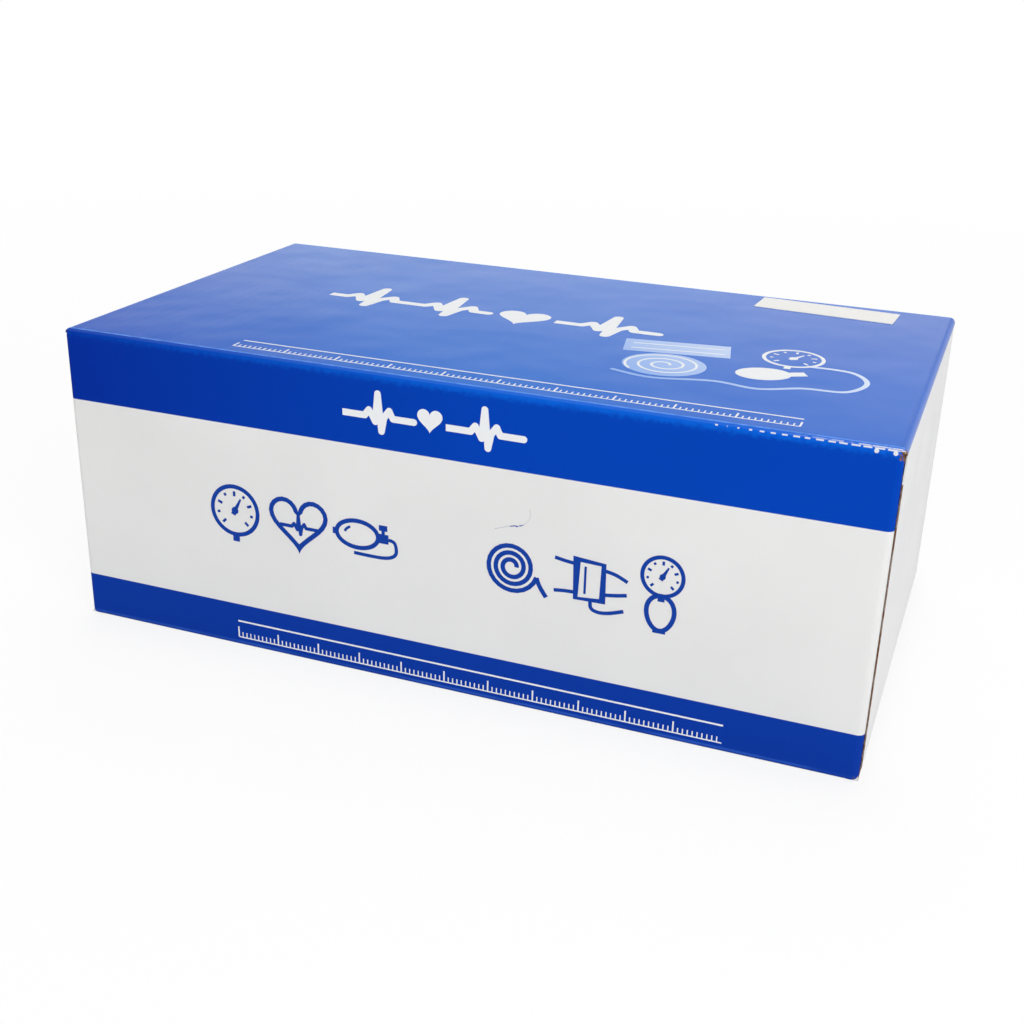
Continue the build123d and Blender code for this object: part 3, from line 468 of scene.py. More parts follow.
def carton_paint(name, printed, bare, along, specular, worn_with_lit_fold=False):
    """A carton wall: a glossy printed sheet outside and brown board inside and at its cut edges.

    printed and bare are functions of the paint, which give the ink's colour and the share of bare board.
    When the last flag is set, the wall has torn rims and a fold with painted highlights, painted glints and
    cracked ink.
    """
    paint = Paint(name, specular)
    brown, fibre = kraft_colour(paint)
    rim = paint.ramp(paint.abs_x, half_length - 2.0, half_length - 1.7)
    brown = paint.mix(paint.times(rim, 0.8), brown, raw_edge)
    ink = paint.shade(printed(paint), 0.03, paint.noise(0.05, 3.0))
    if worn_with_lit_fold:
        torn = paint.ramp(paint.noise(2.6, 3.0, (1, 1, 0.5)), 0.58, 0.64, 0.0, 0.75)
        brown = paint.mix(paint.times(torn, rim), brown, torn_paper)
        # The fold gets its painted highlights and glints here.
        ink = fold_wear(paint, ink)
    raw = bare(paint)
    laminated(paint, getattr(paint, along), 0.003 if name == "top_sheet" else 0.01)
    paint.relief(paint.times(fibre, raw), 0.06)
    gloss = paint.ramp(paint.noise(0.12, 3.0), 0.2, 0.8, 0.13, 0.19)
    folds = (paint.ramp(paint.abs_x, 96.0, 96.5, 0.0, 0.35), paint.ramp(paint.abs_y, 53.0, 53.6, 0.0, 0.9))
    return paint.finish(paint.mix(raw, ink, brown), paint.most(gloss, paint.times(raw, 0.86), *folds))


def all_scuffs(paint):
    shares = []
    for corner, size in scuffs:
        torn = paint.ramp(paint.noise(1.4, 3.0), 0.2, 0.8, -0.9, 0.9)
        shares.append(paint.ramp(paint.calc("ADD", paint.distance(corner), torn), size, size + 0.3, 1.0, 0.0))
    return paint.most(*shares)


def top_ink(paint):
    """One blue with painted light and shade: brighter behind and to the right, darker at the front left, with
    painted shade on the front and back folds towards the left end and on the folds at both ends.
    """
    # Painted light: the ink turns lighter away from the front left corner, behind and to the right.
    across = paint.calc("ADD", paint.x, paint.times(paint.y, 0.8))
    right = paint.mix(paint.ramp(paint.x, 15.0, 70.0), (14, 111, 213), (20, 101, 207))
    ink = paint.mix(paint.ramp(across, -125.0, -45.0), (0, 86, 199), right)
    cloudy = paint.mix(0.5, ink, (12, 108, 214))
    ink = paint.mix(paint.ramp(paint.noise(0.012, 2.0), 0.3, 0.7), ink, cloudy)
    # Painted shade on the rounded front and back folds, stronger towards the left end.
    fold = paint.ramp(paint.abs_y, 53.4, 53.8)
    ink = paint.mix(paint.times(fold, paint.ramp(paint.x, -50.0, 30.0, 0.85, 0.2)), ink, ink_painted_shade)
    # Painted shade on the folds at both ends.
    return paint.mix(paint.ramp(paint.abs_x, 95.7, 96.0, 0.0, 0.12), ink, ink_deep)


def side_ink(paint):
    """A white wall between a wide upper and a narrow lower blue band. Painted shade darkens the upper band
    towards the left end, and a painted highlight runs as a paler line along the fold at its foot.
    """
    upper = paint.ramp(paint.z, upper_band_z - 0.05, upper_band_z + 0.05)
    lower = paint.ramp(paint.z, lower_band_z - 0.05, lower_band_z + 0.05, 1.0, 0.0)
    white = paint.mix(paint.ramp(paint.noise(0.02, 2.0), 0.3, 0.7), sheet_white, (229, 229, 228))
    # Painted shade: the upper band darkens towards the left end.
    banded = paint.mix(upper, white, paint.mix(paint.ramp(paint.x, -95.0, 20.0), ink_painted_shade, ink_blue))
    # Painted highlight: a paler blue line along the fold at the wall's foot.
    uneven = paint.ramp(paint.noise(0.05, 2.0, (1, 0.1, 0.1)), 0.35, 0.6, 0.2, 0.9)
    painted_foot_highlight = paint.times(paint.between(paint.z, 1.0, 1.5, 0.3), uneven)
    return paint.mix(lower, banded, paint.mix(painted_foot_highlight, ink_deep, (52, 100, 200)))


def bottom_ink(paint):
    return paint.mix(paint.noise(0.04, 2.0), sheet_white, (226, 226, 226))


def plain_white(paint):
    return paint.mix(paint.ramp(paint.noise(0.03, 3.0), 0.3, 0.7), (228, 228, 230), (236, 236, 236))


def top_bare(paint):
    return paint.most(paint.ramp(paint.z, inner_top + 0.02, inner_top + 0.06, 1.0, 0.0), all_scuffs(paint))


def side_bare(paint):
    inside = paint.ramp(paint.abs_y, inner_half_depth + 0.02, inner_half_depth + 0.06, 1.0, 0.0)
    return paint.most(inside, all_scuffs(paint))


def bottom_bare(paint):
    end = paint.times(paint.ramp(paint.abs_x, half_length - 0.46, half_length - 0.42),
                      paint.ramp(paint.z, 0.25, 0.3))
    return paint.most(paint.ramp(paint.z, board - 0.06, board - 0.02), end)


def dust_bare(paint):
    """The dust flap's sheet, rubbed along the edge that points into the carton."""
    edge = paint.ramp(paint.abs_y, dust_free_y + 0.2, dust_free_y + 0.6, 1.0, 0.0)
    return paint.times(edge, paint.ramp(paint.noise(0.9, 3.0), 0.45, 0.55))


def end_bare(paint):
    """The white end sheet, brown at its cut side edges."""
    edge = paint.ramp(paint.abs_y, flap_half_width - 0.05, flap_half_width - 0.01)
    return paint.times(edge, paint.ramp(paint.noise(0.9, 3.0), 0.4, 0.6, 0.75, 1.0))


def brown_board(name):
    paint = Paint(name, 0.2)
    brown, fibre = kraft_colour(paint)
    paint.relief(fibre, 0.05)
    paint.relief(paint.noise(0.06, 2.0), 0.3)
    return paint.finish(brown, paint.ramp(fibre, 0.3, 0.7, 0.78, 0.92))


def printed_ink(name, colour, spread):
    """Ink on the laminated sheet: the sheet's ribs, a halftone's faint mottle and the same gloss."""
    paint = Paint(name, satin)
    laminated(paint, paint.x)
    mottled = paint.shade(colour(paint) if callable(colour) else colour, spread, paint.noise(1.3, 3.0))
    return paint.finish(mottled, paint.ramp(paint.noise(0.12, 3.0), 0.2, 0.8, 0.12, 0.2))


def pale_tint(paint):
    along = paint.ramp(paint.calc("ADD", paint.x, paint.y), 10, 70)
    return paint.mix(along, (150, 182, 236), (214, 226, 246))


def label_paint():
    paint = Paint("label_paper", 0.35)
    fibre = paint.noise(3.0, 4.0, (1, 2.5, 1), 0.7)
    paint.relief(fibre, 0.02)
    paint.relief(paint.waves(paint.x, flute_pitch), 0.008)
    # The label is darker at the foot of its sides, next to the carton's top.
    edge = paint.ramp(paint.z, height + 0.02, height + 0.1)
    colour = paint.mix(edge, (206, 204, 198), (240, 239, 236))
    return paint.finish(paint.shade(colour, 0.02, fibre), paint.ramp(fibre, 0.3, 0.7, 0.42, 0.56))


top_sheet = carton_paint("top_sheet", top_ink, top_bare, "x", 0.5, True)
side_sheet = carton_paint("side_sheet", side_ink, side_bare, "x", satin, True)
bottom_sheet = carton_paint("bottom_sheet", bottom_ink, bottom_bare, "x", satin)
end_sheet = carton_paint("end_sheet", plain_white, end_bare, "z", satin)
dust_sheet = carton_paint("dust_sheet", plain_white, dust_bare, "y", satin)
liner_brown = brown_board("liner_brown")
medium_brown = brown_board("medium_brown")
white_ink = printed_ink("white_ink", (236, 238, 240), 0.015)
pale_ink = printed_ink("pale_ink", pale_tint, 0.02)
blue_ink = printed_ink("blue_ink", (16, 62, 158), 0.03)
scratch_grey = printed_ink("scratch_grey", (178, 182, 200), 0.03)


# Meshes

def solid(name, shape, material, body, smooth_below=None):
    """A mesh piece from points in millimetres, faces and, for a list of materials, each face's number."""
    points, faces, *chosen = shape
    mesh = bpy.data.meshes.new(name)
    mesh.from_pydata([tuple(c * MM for c in p) for p in points], [], faces)
    for one in material if isinstance(material, list) else [material]:
        mesh.materials.append(one)
    if chosen:
        mesh.polygons.foreach_set("material_index", chosen[0])
    tidy = bmesh.new()
    tidy.from_mesh(mesh)
    bmesh.ops.recalc_face_normals(tidy, faces=tidy.faces)
    tidy.to_mesh(mesh)
    tidy.free()
    if smooth_below is not None:
        mesh.shade_smooth()
        mesh.set_sharp_from_angle(angle=math.radians(smooth_below))
    mesh.update()
    piece = add(bpy.data.objects.new(name, mesh))
    if body:
        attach(piece, body)
    return piece


def sections(rings, closed=False):
    """Faces between rings of equally many points, with caps on open ends."""
    count = len(rings[0])
    points = [p for ring in rings for p in ring]
    faces = []
    for r in range(len(rings) if closed else len(rings) - 1):
        a, b = r * count, ((r + 1) % len(rings)) * count
        faces += [(a + i, a + (i + 1) % count, b + (i + 1) % count, b + i) for i in range(count)]
    if not closed:
        faces += [tuple(range(count)), tuple(range(len(points) - count, len(points)))]
    return points, faces


def gathered(parts):
    """Several (points, faces) pairs as one shape, each face numbered after its part's place in the list."""
    points, faces, chosen = [], [], []
    for number, (part_points, part_faces) in enumerate(parts):
        base = len(points)
        points += part_points
        faces += [tuple(base + i for i in face) for face in part_faces]
        chosen += [number] * len(part_faces)
    return points, faces, chosen


def stations(start, end, rim, inset, count):
    """Places along a length: the rim's at both ends, and evenly spread ones between them."""
    middle = list(np.linspace(start + inset, end - inset, count))
    return [start + d for d in rim] + middle + [end - d for d in reversed(rim)]


def polar(reach, angle, middle=(0.0, 0.0)):
    """A point at a distance and an angle in radians from a middle."""
    return (middle[0] + reach * math.cos(angle), middle[1] + reach * math.sin(angle))


# Corrugated flaps

def board_layers(rows, place, skin=None):
    """Outer sheet, fluted medium and inner liner of a flap whose flutes run along v.

    rows are (u, low v, high v) across the flutes. place takes u, v and a height w above the inner face.
    """
    u_rows, lows, highs = zip(*rows)
    count = int((u_rows[-1] - u_rows[0]) / flute_pitch * 12)
    layers = [], [], []
    for u in sorted(set(np.linspace(u_rows[0], u_rows[-1], count).round(4)) | set(u_rows)):
        low, high = float(np.interp(u, u_rows, lows)), float(np.interp(u, u_rows, highs))
        top = skin(u) if skin else board
        squeeze = min(1.0, top / 0.9)
        face, web = liner * squeeze, medium * squeeze
        room = top - 2 * face - web
        turn = 2 * math.pi * u / flute_pitch
        middle = face + web / 2 + room * (0.5 + 0.5 * math.cos(turn))
        slope = math.pi * room / flute_pitch * math.sin(turn)
        half = web / 2 * math.sqrt(1 + slope * slope)
        spans = ((top - face, top, 0.0), (middle - half, middle + half, 0.06), (0.0, face, 0.0))
        for layer, (w_low, w_high, inset) in zip(layers, spans):
            a, b = low + inset, high - inset
            layer.append([place(u, v, w) for v, w in ((a, w_low), (b, w_low), (b, w_high), (a, w_high))])
    return gathered([sections(rings) for rings in layers])


def foot_skin(u):
    """The closure flap's outer face, rounded where it folds into the tongue."""
    rise = u - flap_foot
    if rise >= foot_radius:
        return board
    return board - foot_radius + math.sqrt(max(0.02, foot_radius ** 2 - (foot_radius - rise) ** 2))


def make_board(name, shape, sheet, body, node):
    piece = solid(name, shape, [sheet, medium_brown, liner_brown], body, 30)
    stand_in(piece, node)


def make_flap(side, name):
    inner = flap_half_width - flap_corner_in
    rows = [(flap_foot, -flap_half_width, flap_half_width),
            (flap_top - flap_corner_drop, -flap_half_width, flap_half_width), (flap_top, -inner, inner)]
    shape = board_layers(rows, lambda u, v, w: (side * (flap_inner_x + w), v, u), foot_skin)
    make_board(name + "_closure_board", shape, end_sheet, name + "_flap", name + "_closure_flap")


def make_tongue(side, name):
    tilt = math.radians(tongue_tilt)
    rows = [(0.5, -tongue_half_width, tongue_half_width)]
    for step in range(9):
        rise = tongue_corner * step / 8
        half = tongue_half_width - tongue_corner + math.sqrt(max(0.0, tongue_corner ** 2 - rise ** 2))
        rows.append((tongue_length - tongue_corner + rise, -half, half))

    def place(u, v, w):
        lift = board - w
        x = flap_inner_x - u * math.cos(tilt) + lift * math.sin(tilt)
        return (side * x, v, flap_foot + u * math.sin(tilt) + lift * math.cos(tilt))

    shape = board_layers(rows, place)
    make_board(name + "_tongue_board", shape, end_sheet, name + "_tongue", name + "_tuck_tongue")


def make_dust_flap(side, name, face, where):
    """face is -1 for the front wall's flap and +1 for the back wall's."""
    rows = [
        (0.0, dust_foot, dust_head),
        (dust_length, dust_foot + dust_foot_slope * dust_length, dust_head - dust_head_slope * dust_length),
    ]
    shape = board_layers(rows, lambda u, v, w: (side * (dust_inner_x + w), face * (dust_crease_y - u), v))
    full = f"{name}_{where}_dust"
    make_board(full + "_board", shape, dust_sheet, full, full + "_flap")


def crease(name, line, low, high, place, material, thickness=0.1):
    """A thin strip of the outer sheet that bridges a fold, shaped round it."""
    rings = []
    normal = (0.0, 0.0)
    for (a, b), (c, d) in zip(line, line[1:] + [line[-1]]):
        length = math.hypot(c - a, d - b)
        if length > 0:
            normal = (-(d - b) / length * thickness, (c - a) / length * thickness)
        outer = (a + normal[0], b + normal[1])
        rings.append([place(a, b, low), place(a, b, high), place(*outer, high), place(*outer, low)])
    piece = solid(name, sections(rings), material, None, 50)
    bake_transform(piece)


def edge_skin(name, place):
    """The printed sheet round the end of the front or back panel, up to the closure flap's side edge."""
    x, y = side_middle
    rings = []
    for z in (0.12, 0.3, 0.6, 1.0, 1.5, 20.0, 40.0, 60.0, height - 1.5):
        rest = max(0.0, side_radius - z)
        drop = side_radius - math.sqrt(side_radius ** 2 - rest ** 2)
        deep, reach = 1.538 - drop * 0.95, 1.62 - drop * 0.7
        outline = [(x - 0.9, y + deep - 0.3), (x - 0.9, y + deep)]
        outline += [(x + reach * math.sin(t), y + deep * math.cos(t))
                    for t in np.linspace(0, math.pi / 2, 13)]
        outline += [(x + 0.9, y), (x + 0.5, y + deep * 0.4)]
        rings.append([place(*point, z) for point in outline])
    piece = solid(name, sections(rings), side_sheet, "carton", 40)


def make_creases(side, name):
    def across(a, b, y):
        return (side * a, y, b)

    over = [polar(head_radius, math.radians(angle), head_middle) for angle in range(40, -1, -8)]
    over += [(97.44, height - down) for down in (1.6, 1.75, 1.9, 2.1)]
    crease(name + "_head_crease", over[::-1], -51.2, 51.2, across,
           end_sheet)
    under = [polar(foot_crease_radius, math.radians(angle), foot_middle) for angle in range(-60, -91, -10)]
    under += [(95.8, 1.79), (95.6, 1.83), (95.3, 1.89), (94.9, 1.97)]
    crease(name + "_foot_crease", under[::-1], -49.0, 49.0, across,
           end_sheet)
    bend = [(96.8, 53.38), (96.4, 53.38), (96.0, 53.36), (95.8, 53.3), (95.68, 53.15), (95.62, 52.9),
            (95.62, 52.4)]
    for sign, where in ((-1, "front"), (1, "back")):
        def upright(a, b, z):
            return (side * a, sign * b, z)

        crease(f"{name}_{where}_crease", bend, dust_foot + 0.1, dust_head - 3.4, upright,
               dust_sheet, 0.08)
        edge_skin(f"{name}_{where}_edge_skin", upright)


for names, material in (
    (("top_panel",), top_sheet), (("front_panel", "back_panel"), side_sheet),
    (("bottom_panel",), bottom_sheet), (("glue_flap",), liner_brown), (("blank_label",), label_paint()),
):
    paint_nodes(names, material)

for side, name in ((1, "right"), (-1, "left")):
    make_flap(side, name)
    make_tongue(side, name)
    make_dust_flap(side, name, -1, "front")
    make_dust_flap(side, name, 1, "back")
    make_creases(side, name)


# Print on the carton: generic marks where the sheet has its title, words and picture

ink_foot = -0.01
ink_top = 0.03
stroke = 1.05
title_height = 17.0
title_stroke = 2.6
side_title_z = 65.4
side_title_height = 8.6
side_title_stroke = 1.55
roll_middle = (40, -20.4)


def bar(start, end, width):
    """A straight stroke with square ends."""
    (a, b), (c, d) = start, end
    length = math.hypot(c - a, d - b)
    u, v = -(d - b) / length * width / 2, (c - a) / length * width / 2
    return [(a + u, b + v), (a - u, b - v), (c - u, d - v), (c + u, d + v)]


def strip(line, width, ends=None, closed=False):
    """A bent stroke as pairs of points. ends gives the shares of its width at the start and at the end."""
    count = len(line)
    pairs = []
    for i, (x, y) in enumerate(line):
        before = line[(i - 1) % count] if closed else line[max(0, i - 1)]
        after = line[(i + 1) % count] if closed else line[min(count - 1, i + 1)]
        along = Vector((after[0] - before[0], after[1] - before[1])).normalized()
        spread = 1.0
        if closed or 0 < i < count - 1:
            first = Vector((x - before[0], y - before[1])).normalized()
            spread = 1.0 / max(0.5, along.dot(first))
        half = width / 2 * spread
        if ends:
            half *= ends[0] + (ends[1] - ends[0]) * i / (count - 1)
        pairs.append(((x - along.y * half, y + along.x * half), (x + along.y * half, y - along.x * half)))
    return {"pairs": pairs, "closed": closed}


def disc(middle, radius, squash=1.0, turn=0.0, sides=60):
    points = []
    cosine, sine = math.cos(math.radians(turn)), math.sin(math.radians(turn))
    for i in range(sides):
        x, y = polar(radius, 2 * math.pi * i / sides)
        y *= squash
        points.append((middle[0] + x * cosine - y * sine, middle[1] + x * sine + y * cosine))
    return points


def ring(middle, radius, width):
    return strip(disc(middle, radius), width, closed=True)


def joined(line, width):
    """A stroke with sharp turns: a bar for each run and a dot at each corner."""
    shapes = []
    for start, end in zip(line, line[1:]):
        shapes += [bar(start, end, width), disc(end, width / 2, sides=24)]
    return shapes


def curve_through(points, steps=10):
    """A smooth line through points."""
    padded = [points[0], *points, points[-1]]
    line = []
    for a, b, c, d in zip(padded, padded[1:], padded[2:], padded[3:]):
        for t in (i / steps for i in range(steps)):
            line.append(tuple(
                0.5 * (2 * q + (r - p) * t + (2 * p - 5 * q + 4 * r - s) * t ** 2
                       + (3 * q - p - 3 * r + s) * t ** 3)
                for p, q, r, s in zip(a, b, c, d)))
    return line + [points[-1]]


def spots(middle, size, places):
    """Places given as shares of a mark's size, round its middle."""
    return [(middle[0] + size * u, middle[1] + size * v) for u, v in places]


def heart(middle, size):
    places = []
    for t in (2 * math.pi * i / 40 for i in range(40)):
        y = 13 * math.cos(t) - 5 * math.cos(2 * t) - 2 * math.cos(3 * t) - math.cos(4 * t)
        places.append((math.sin(t) ** 3 / 2, y / 32))
    return spots(middle, size, places)


def pulse(left, right, middle, tall, beats):
    """A pulse line: flat, with sharp beats spread along it."""
    line = [(left, middle)]
    for i in range(beats):
        at = left + (right - left) * (i + 0.5) / beats
        for step, rise in ((-0.30, 0), (-0.20, 0.16), (-0.12, 0), (-0.06, -0.14), (0.0, 0.62), (0.08, -0.38),
                           (0.14, 0), (0.26, 0.2), (0.34, 0)):
            line.append((at + step * tall * 1.25, middle + rise * tall))
    return line + [(right, middle)]


def gauge_mark(middle, radius, width):
    """A small dial: rim, ticks, pointer and stem."""
    x, y = middle
    shapes = [ring(middle, radius, width)]
    for i in range(9):
        angle = math.radians(225 - i * 270 / 8)
        near, far = radius * (0.6 if i % 2 == 0 else 0.68), radius * 0.8
        shapes.append(bar(polar(near, angle, middle), polar(far, angle, middle), width * 0.62))
    angle = math.radians(62)
    pointer = [polar(-radius * 0.2, angle, middle), polar(radius * 0.58, angle, middle)]
    shapes += [strip(pointer, width, (1.2, 0.4)), disc(middle, radius * 0.15)]
    return shapes + [bar((x, y - radius - width * 0.3), (x, y - radius * 1.3), width * 1.7)]


def heart_line(middle, size, width):
    """A heart drawn as a line. Inside, its two halves meet on the axis above the tip."""
    outer = heart(middle, size)
    half = len(outer) // 2
    inner = [(middle[0], outer[0][1] - width)]
    for i in range(1, half):
        (x, y), before, after = outer[i], outer[i - 1], outer[i + 1]
        along = Vector((after[0] - before[0], after[1] - before[1])).normalized()
        if x + along.y * width > middle[0]:
            inner.append((x + along.y * width, y - along.x * width))
    (ax, ay), (bx, by) = inner[-2:]
    meeting = (middle[0], by + (by - ay) * (bx - middle[0]) / (ax - bx))
    inner += [meeting] * (half + 1 - len(inner))
    inner += [(2 * middle[0] - x, y) for x, y in inner[-2:0:-1]]
    return {"pairs": list(zip(outer, inner)), "closed": True}


def heart_mark(middle, size, width):
    x, y = middle
    line = pulse(x - size * 0.34, x + size * 0.34, y - size * 0.03, size * 0.32, 1)
    return [heart_line((x, y + size * 0.06), size * 1.06, width), *joined(line, width * 0.75)]


def drawn(middle, size, width, strokes):
    """A mark from strokes: each has a form, places as shares of the mark's size, and a share of its width."""
    forms = {
        "bar": lambda line, wide: bar(*line, wide),
        "line": strip,
        "curve": lambda line, wide: strip(curve_through(line), wide),
        "loop": lambda line, wide: strip(line, wide, closed=True),
    }
    return [forms[form](spots(middle, size, places), width * share) for form, places, share in strokes]


def bulb_mark(middle, size, width):
    """An egg-shaped bulb on its side with an end cap, a valve and a hose."""
    egg = []
    for angle in (math.radians(i * 6) for i in range(60)):
        cosine = math.cos(angle)
        egg.append(((0.40 - 0.05 * cosine) * cosine - 0.08, (0.25 - 0.03 * cosine) * math.sin(angle)))
    shine = [(u * 0.66 - 0.02, v * 0.6) for u, v in egg[22:30]]
    return drawn(middle, size, width, (
        ("loop", egg, 1.0), ("bar", ((0.27, 0), (0.47, 0)), 2.2),
        ("curve", ((0.47, 0), (0.59, -0.05), (0.6, -0.26), (0.37, -0.36), (-0.2, -0.36)), 0.8),
        ("bar", ((0.37, width / size), (0.37, 0.2)), 0.8), ("bar", ((0.29, 0.2), (0.45, 0.2)), 1.3),
        ("bar", ((-0.56, -0.06), (-0.56, 0.06)), 1.2), ("line", shine, 0.6),
    ))


def cuff_mark(middle, size, width):
    """A rolled cuff seen from its end, with its free tail."""
    roll = [polar(0.09 + 0.0052 * i, i * math.pi / 12) for i in range(72)]
    tail = (roll[-1], (0.5, -0.26), (0.62, -0.44))
    return drawn(middle, size, width, (("line", roll, 1.0), ("curve", tail, 1.0)))


def arm_mark(middle, size, width):
    """An upper arm with a band round it, and a hose from the band."""
    runs = (
        ((-0.6, 0.31), (-0.42, 0.28), (-0.23, 0.26)), ((0.22, 0.23), (0.42, 0.19), (0.62, 0.1)),
        ((-0.6, -0.27), (-0.42, -0.25), (-0.23, -0.24)), ((0.22, -0.2), (0.42, -0.17), (0.62, -0.13)),
    )
    return drawn(middle, size, width, (
        *(("curve", run, 0.8) for run in runs),
        ("loop", ((-0.23, -0.34), (0.22, -0.32), (0.22, 0.32), (-0.23, 0.35)), 1.0),
        ("curve", ((0.02, -0.34), (0.04, -0.47), (0.16, -0.52), (0.34, -0.5), (0.58, -0.42)), 0.8),
        ("bar", ((-0.08, -0.24), (-0.08, 0.24)), 0.5),
    ))


def palm_mark(middle, size, width):
    """A dial that stands on an upright bulb."""
    egg = []
    for angle in (math.radians(i * 6) for i in range(60)):
        egg.append(((0.17 + 0.02 * math.sin(angle)) * math.cos(angle), 0.23 * math.sin(angle) - 0.26))
    dial = spots(middle, size, ((0, 0.22),))[0]
    return gauge_mark(dial, size * 0.25, width * 0.85) + drawn(middle, size, width, (
        ("loop", egg, 1.0), ("bar", ((-0.08, -0.5), (0.08, -0.5)), 0.9)))


def scale_marks(left, right, low, step, rises, width, line_above, line_width):
    """A row of ticks on a line, every tenth of them tall, and a plain line above it."""
    shapes = [bar((left, low), (right, low), width)]
    for i in range(int((right - left) / step) + 1):
        x, tall = left + i * step, i % 10 == 0
        shapes.append(bar((x, low), (x, low + rises[tall]), width * (1.2 if tall else 0.9)))
    return shapes + [bar((left, line_above), (right, line_above), line_width)]


def shape_slab(shape, place, low, high):
    """A shape of print as a closed slab: an outline, or a strip that may be closed on itself."""
    if not isinstance(shape, dict):
        return sections([[place(u, v, w) for u, v in shape] for w in (low, high)])
    rings = []
    for left, right in shape["pairs"]:
        rings.append([place(*left, low), place(*right, low), place(*right, high), place(*left, high)])
    return sections(rings, shape["closed"])


def print_marks(name, shapes, place, material, low=ink_foot, high=ink_top):
    """Shapes of print as one piece. Neighbours differ a little in height, so that none lie in one plane."""
    parts = []
    for i, shape in enumerate(shapes):
        level = 0 if i == 0 else 1 + (i - 1) % 7
        parts.append(shape_slab(shape, place, low, high + 0.004 * level))
    return solid(name, gathered(parts)[:2], material, "carton")


def on_top(u, v, w):
    return (u, v, height + w)


def on_front(u, v, w):
    return (u, -half_depth - w, v)


def on_back(u, v, w):
    return (-u, half_depth + w, v)


def print_top():
    title = joined(pulse(-57, -12.5, 3.4, title_height, 2), title_stroke)
    title += joined(pulse(5.5, 32, 3.4, title_height, 1), title_stroke)
    print_marks("top_title_marks", title + [heart((-3.2, 3.8), 13.5)], on_top, white_ink)
    fine = scale_marks(-54, 76, -49.8, 1.3, (1.5, 2.8), 0.34, -45.0, 0.5)
    print_marks("top_scale_marks", fine, on_top, white_ink)
    hose = curve_through([(30, -28.6), (40, -31), (53, -27.6), (63, -29), (72, -24.5), (81, -23), (84.4, -15),
                          (80, -8), (70, -7.4)])
    strap = [(26, -3.2), (50.6, 0.6), (52.6, -9), (28, -13)]
    print_marks("top_picture_tint", [strip(hose, 1.2), disc(roll_middle, 9.6, 0.9), strap], on_top, pale_ink)
    x, y = roll_middle
    roll = []
    for i in range(64):
        angle = i * math.pi / 12
        roll.append((x + (1.2 + 0.127 * i) * math.cos(angle), y + (1.1 + 0.114 * i) * math.sin(angle)))
    picture = [
        strip(roll, 0.6), *gauge_mark((66, -2.5), 6.8, 0.9), disc((62, -17.6), 6.2, 0.74, 18),
        bar((67, -15.8), (70.8, -13.8), 2.8), bar((28.6, -6), (50, -2.6), 0.5),
        bar((29.2, -10), (50.8, -6.4), 0.5),
    ]
    print_marks("top_picture_marks", picture, on_top, white_ink, 0.0, 0.045)


def print_wall(side, place):
    title = [heart((-2.2, 66.6), 6.0)]
    for left, right in ((-23.4, -6.0), (1.6, 19.6)):
        title += joined(pulse(left, right, side_title_z, side_title_height, 1), side_title_stroke)
    print_marks(side + "_title_marks", title, place, white_ink)
    lower = scale_marks(-53.4, 67.6, 2.6, 1.1, (1.4, 2.8), 0.3, 7.0, 0.42)
    print_marks(side + "_scale_marks", lower, place, white_ink)
    marks = [
        *gauge_mark((-52.6, 36.4), 6.1, stroke), *heart_mark((-35.6, 35.6), 14.6, 1.15),
        *bulb_mark((-18.6, 36.2), 13.2, stroke), *cuff_mark((17.6, 35.4), 13.4, stroke),
        *arm_mark((35.8, 35.4), 13.6, stroke), *palm_mark((51.8, 35.6), 18.0, stroke),
    ]
    print_marks(side + "_field_marks", marks, place, blue_ink)


def scratch_front():
    line = curve_through([(13.4, 43.7), (16.4, 44.8), (18.2, 45.2), (19.7, 45.6), (21.0, 46.7), (21.7, 48.0),
                          (21.5, 49.8)])
    print_marks("front_scratch", [strip(line, 0.16, (0.6, 0.3))], on_front, scratch_grey)
    inked = [strip([(17.0, 44.95), (18.1, 45.25), (18.9, 45.2)], 0.34, (0.5, 0.8)),
             strip([(19.2, 45.4), (20.1, 45.75)], 0.26, (1.0, 0.4))]
    print_marks("front_scratch_ink", inked, on_front, blue_ink, 0.0, 0.04)


print_top()
print_wall("front", on_front)
print_wall("back", on_back)
scratch_front()


# Soft contents: cuff, bladder, hook and loop strips

def cloth_paint(name, dark, light, pitch, gloss):
    """Plain weave that follows the cloth: threads cross at a pitch, with a slub and a soft sheen."""
    paint = Paint(name, 0.3, {"Sheen Weight": 0.35, "Sheen Roughness": 0.4})
    flat = paint.node("Attribute", attribute_name="cloth").outputs["Vector"]
    across, along, _ = paint.node("SeparateXYZ", {0: flat}).outputs
    crossing = paint.calc("SUBTRACT", paint.waves(across, pitch), paint.waves(along, pitch))
    over = paint.calc("ABSOLUTE", crossing)
    paint.relief(over, 0.07)
    paint.relief(paint.noise(0.08, 3.0, at=flat), 0.5)
    colour = paint.mix(paint.ramp(over, 0.1, 0.9), dark, light)
    colour = paint.shade(colour, 0.12, paint.noise(0.5, 3.0, (1, 4, 1), 0.6, flat))
    return paint.finish(colour, paint.ramp(over, 0, 1, gloss + 0.15, gloss))


def rubber_paint(name, dark, light, rough, grain):
    """Matt moulded rubber: a fine grain, a dusty bloom and slow waves."""
    paint = Paint(name, 0.4)
    bloom = paint.noise(0.12, 4.0, roughness=0.6)
    paint.relief(paint.cells(2.2), grain)
    paint.relief(paint.noise(0.1, 2.0), 0.15)
    colour = paint.mix(paint.ramp(bloom, 0.35, 0.8), dark, light)
    return paint.finish(colour, paint.ramp(bloom, 0.2, 0.8, rough - 0.06, rough + 0.08))


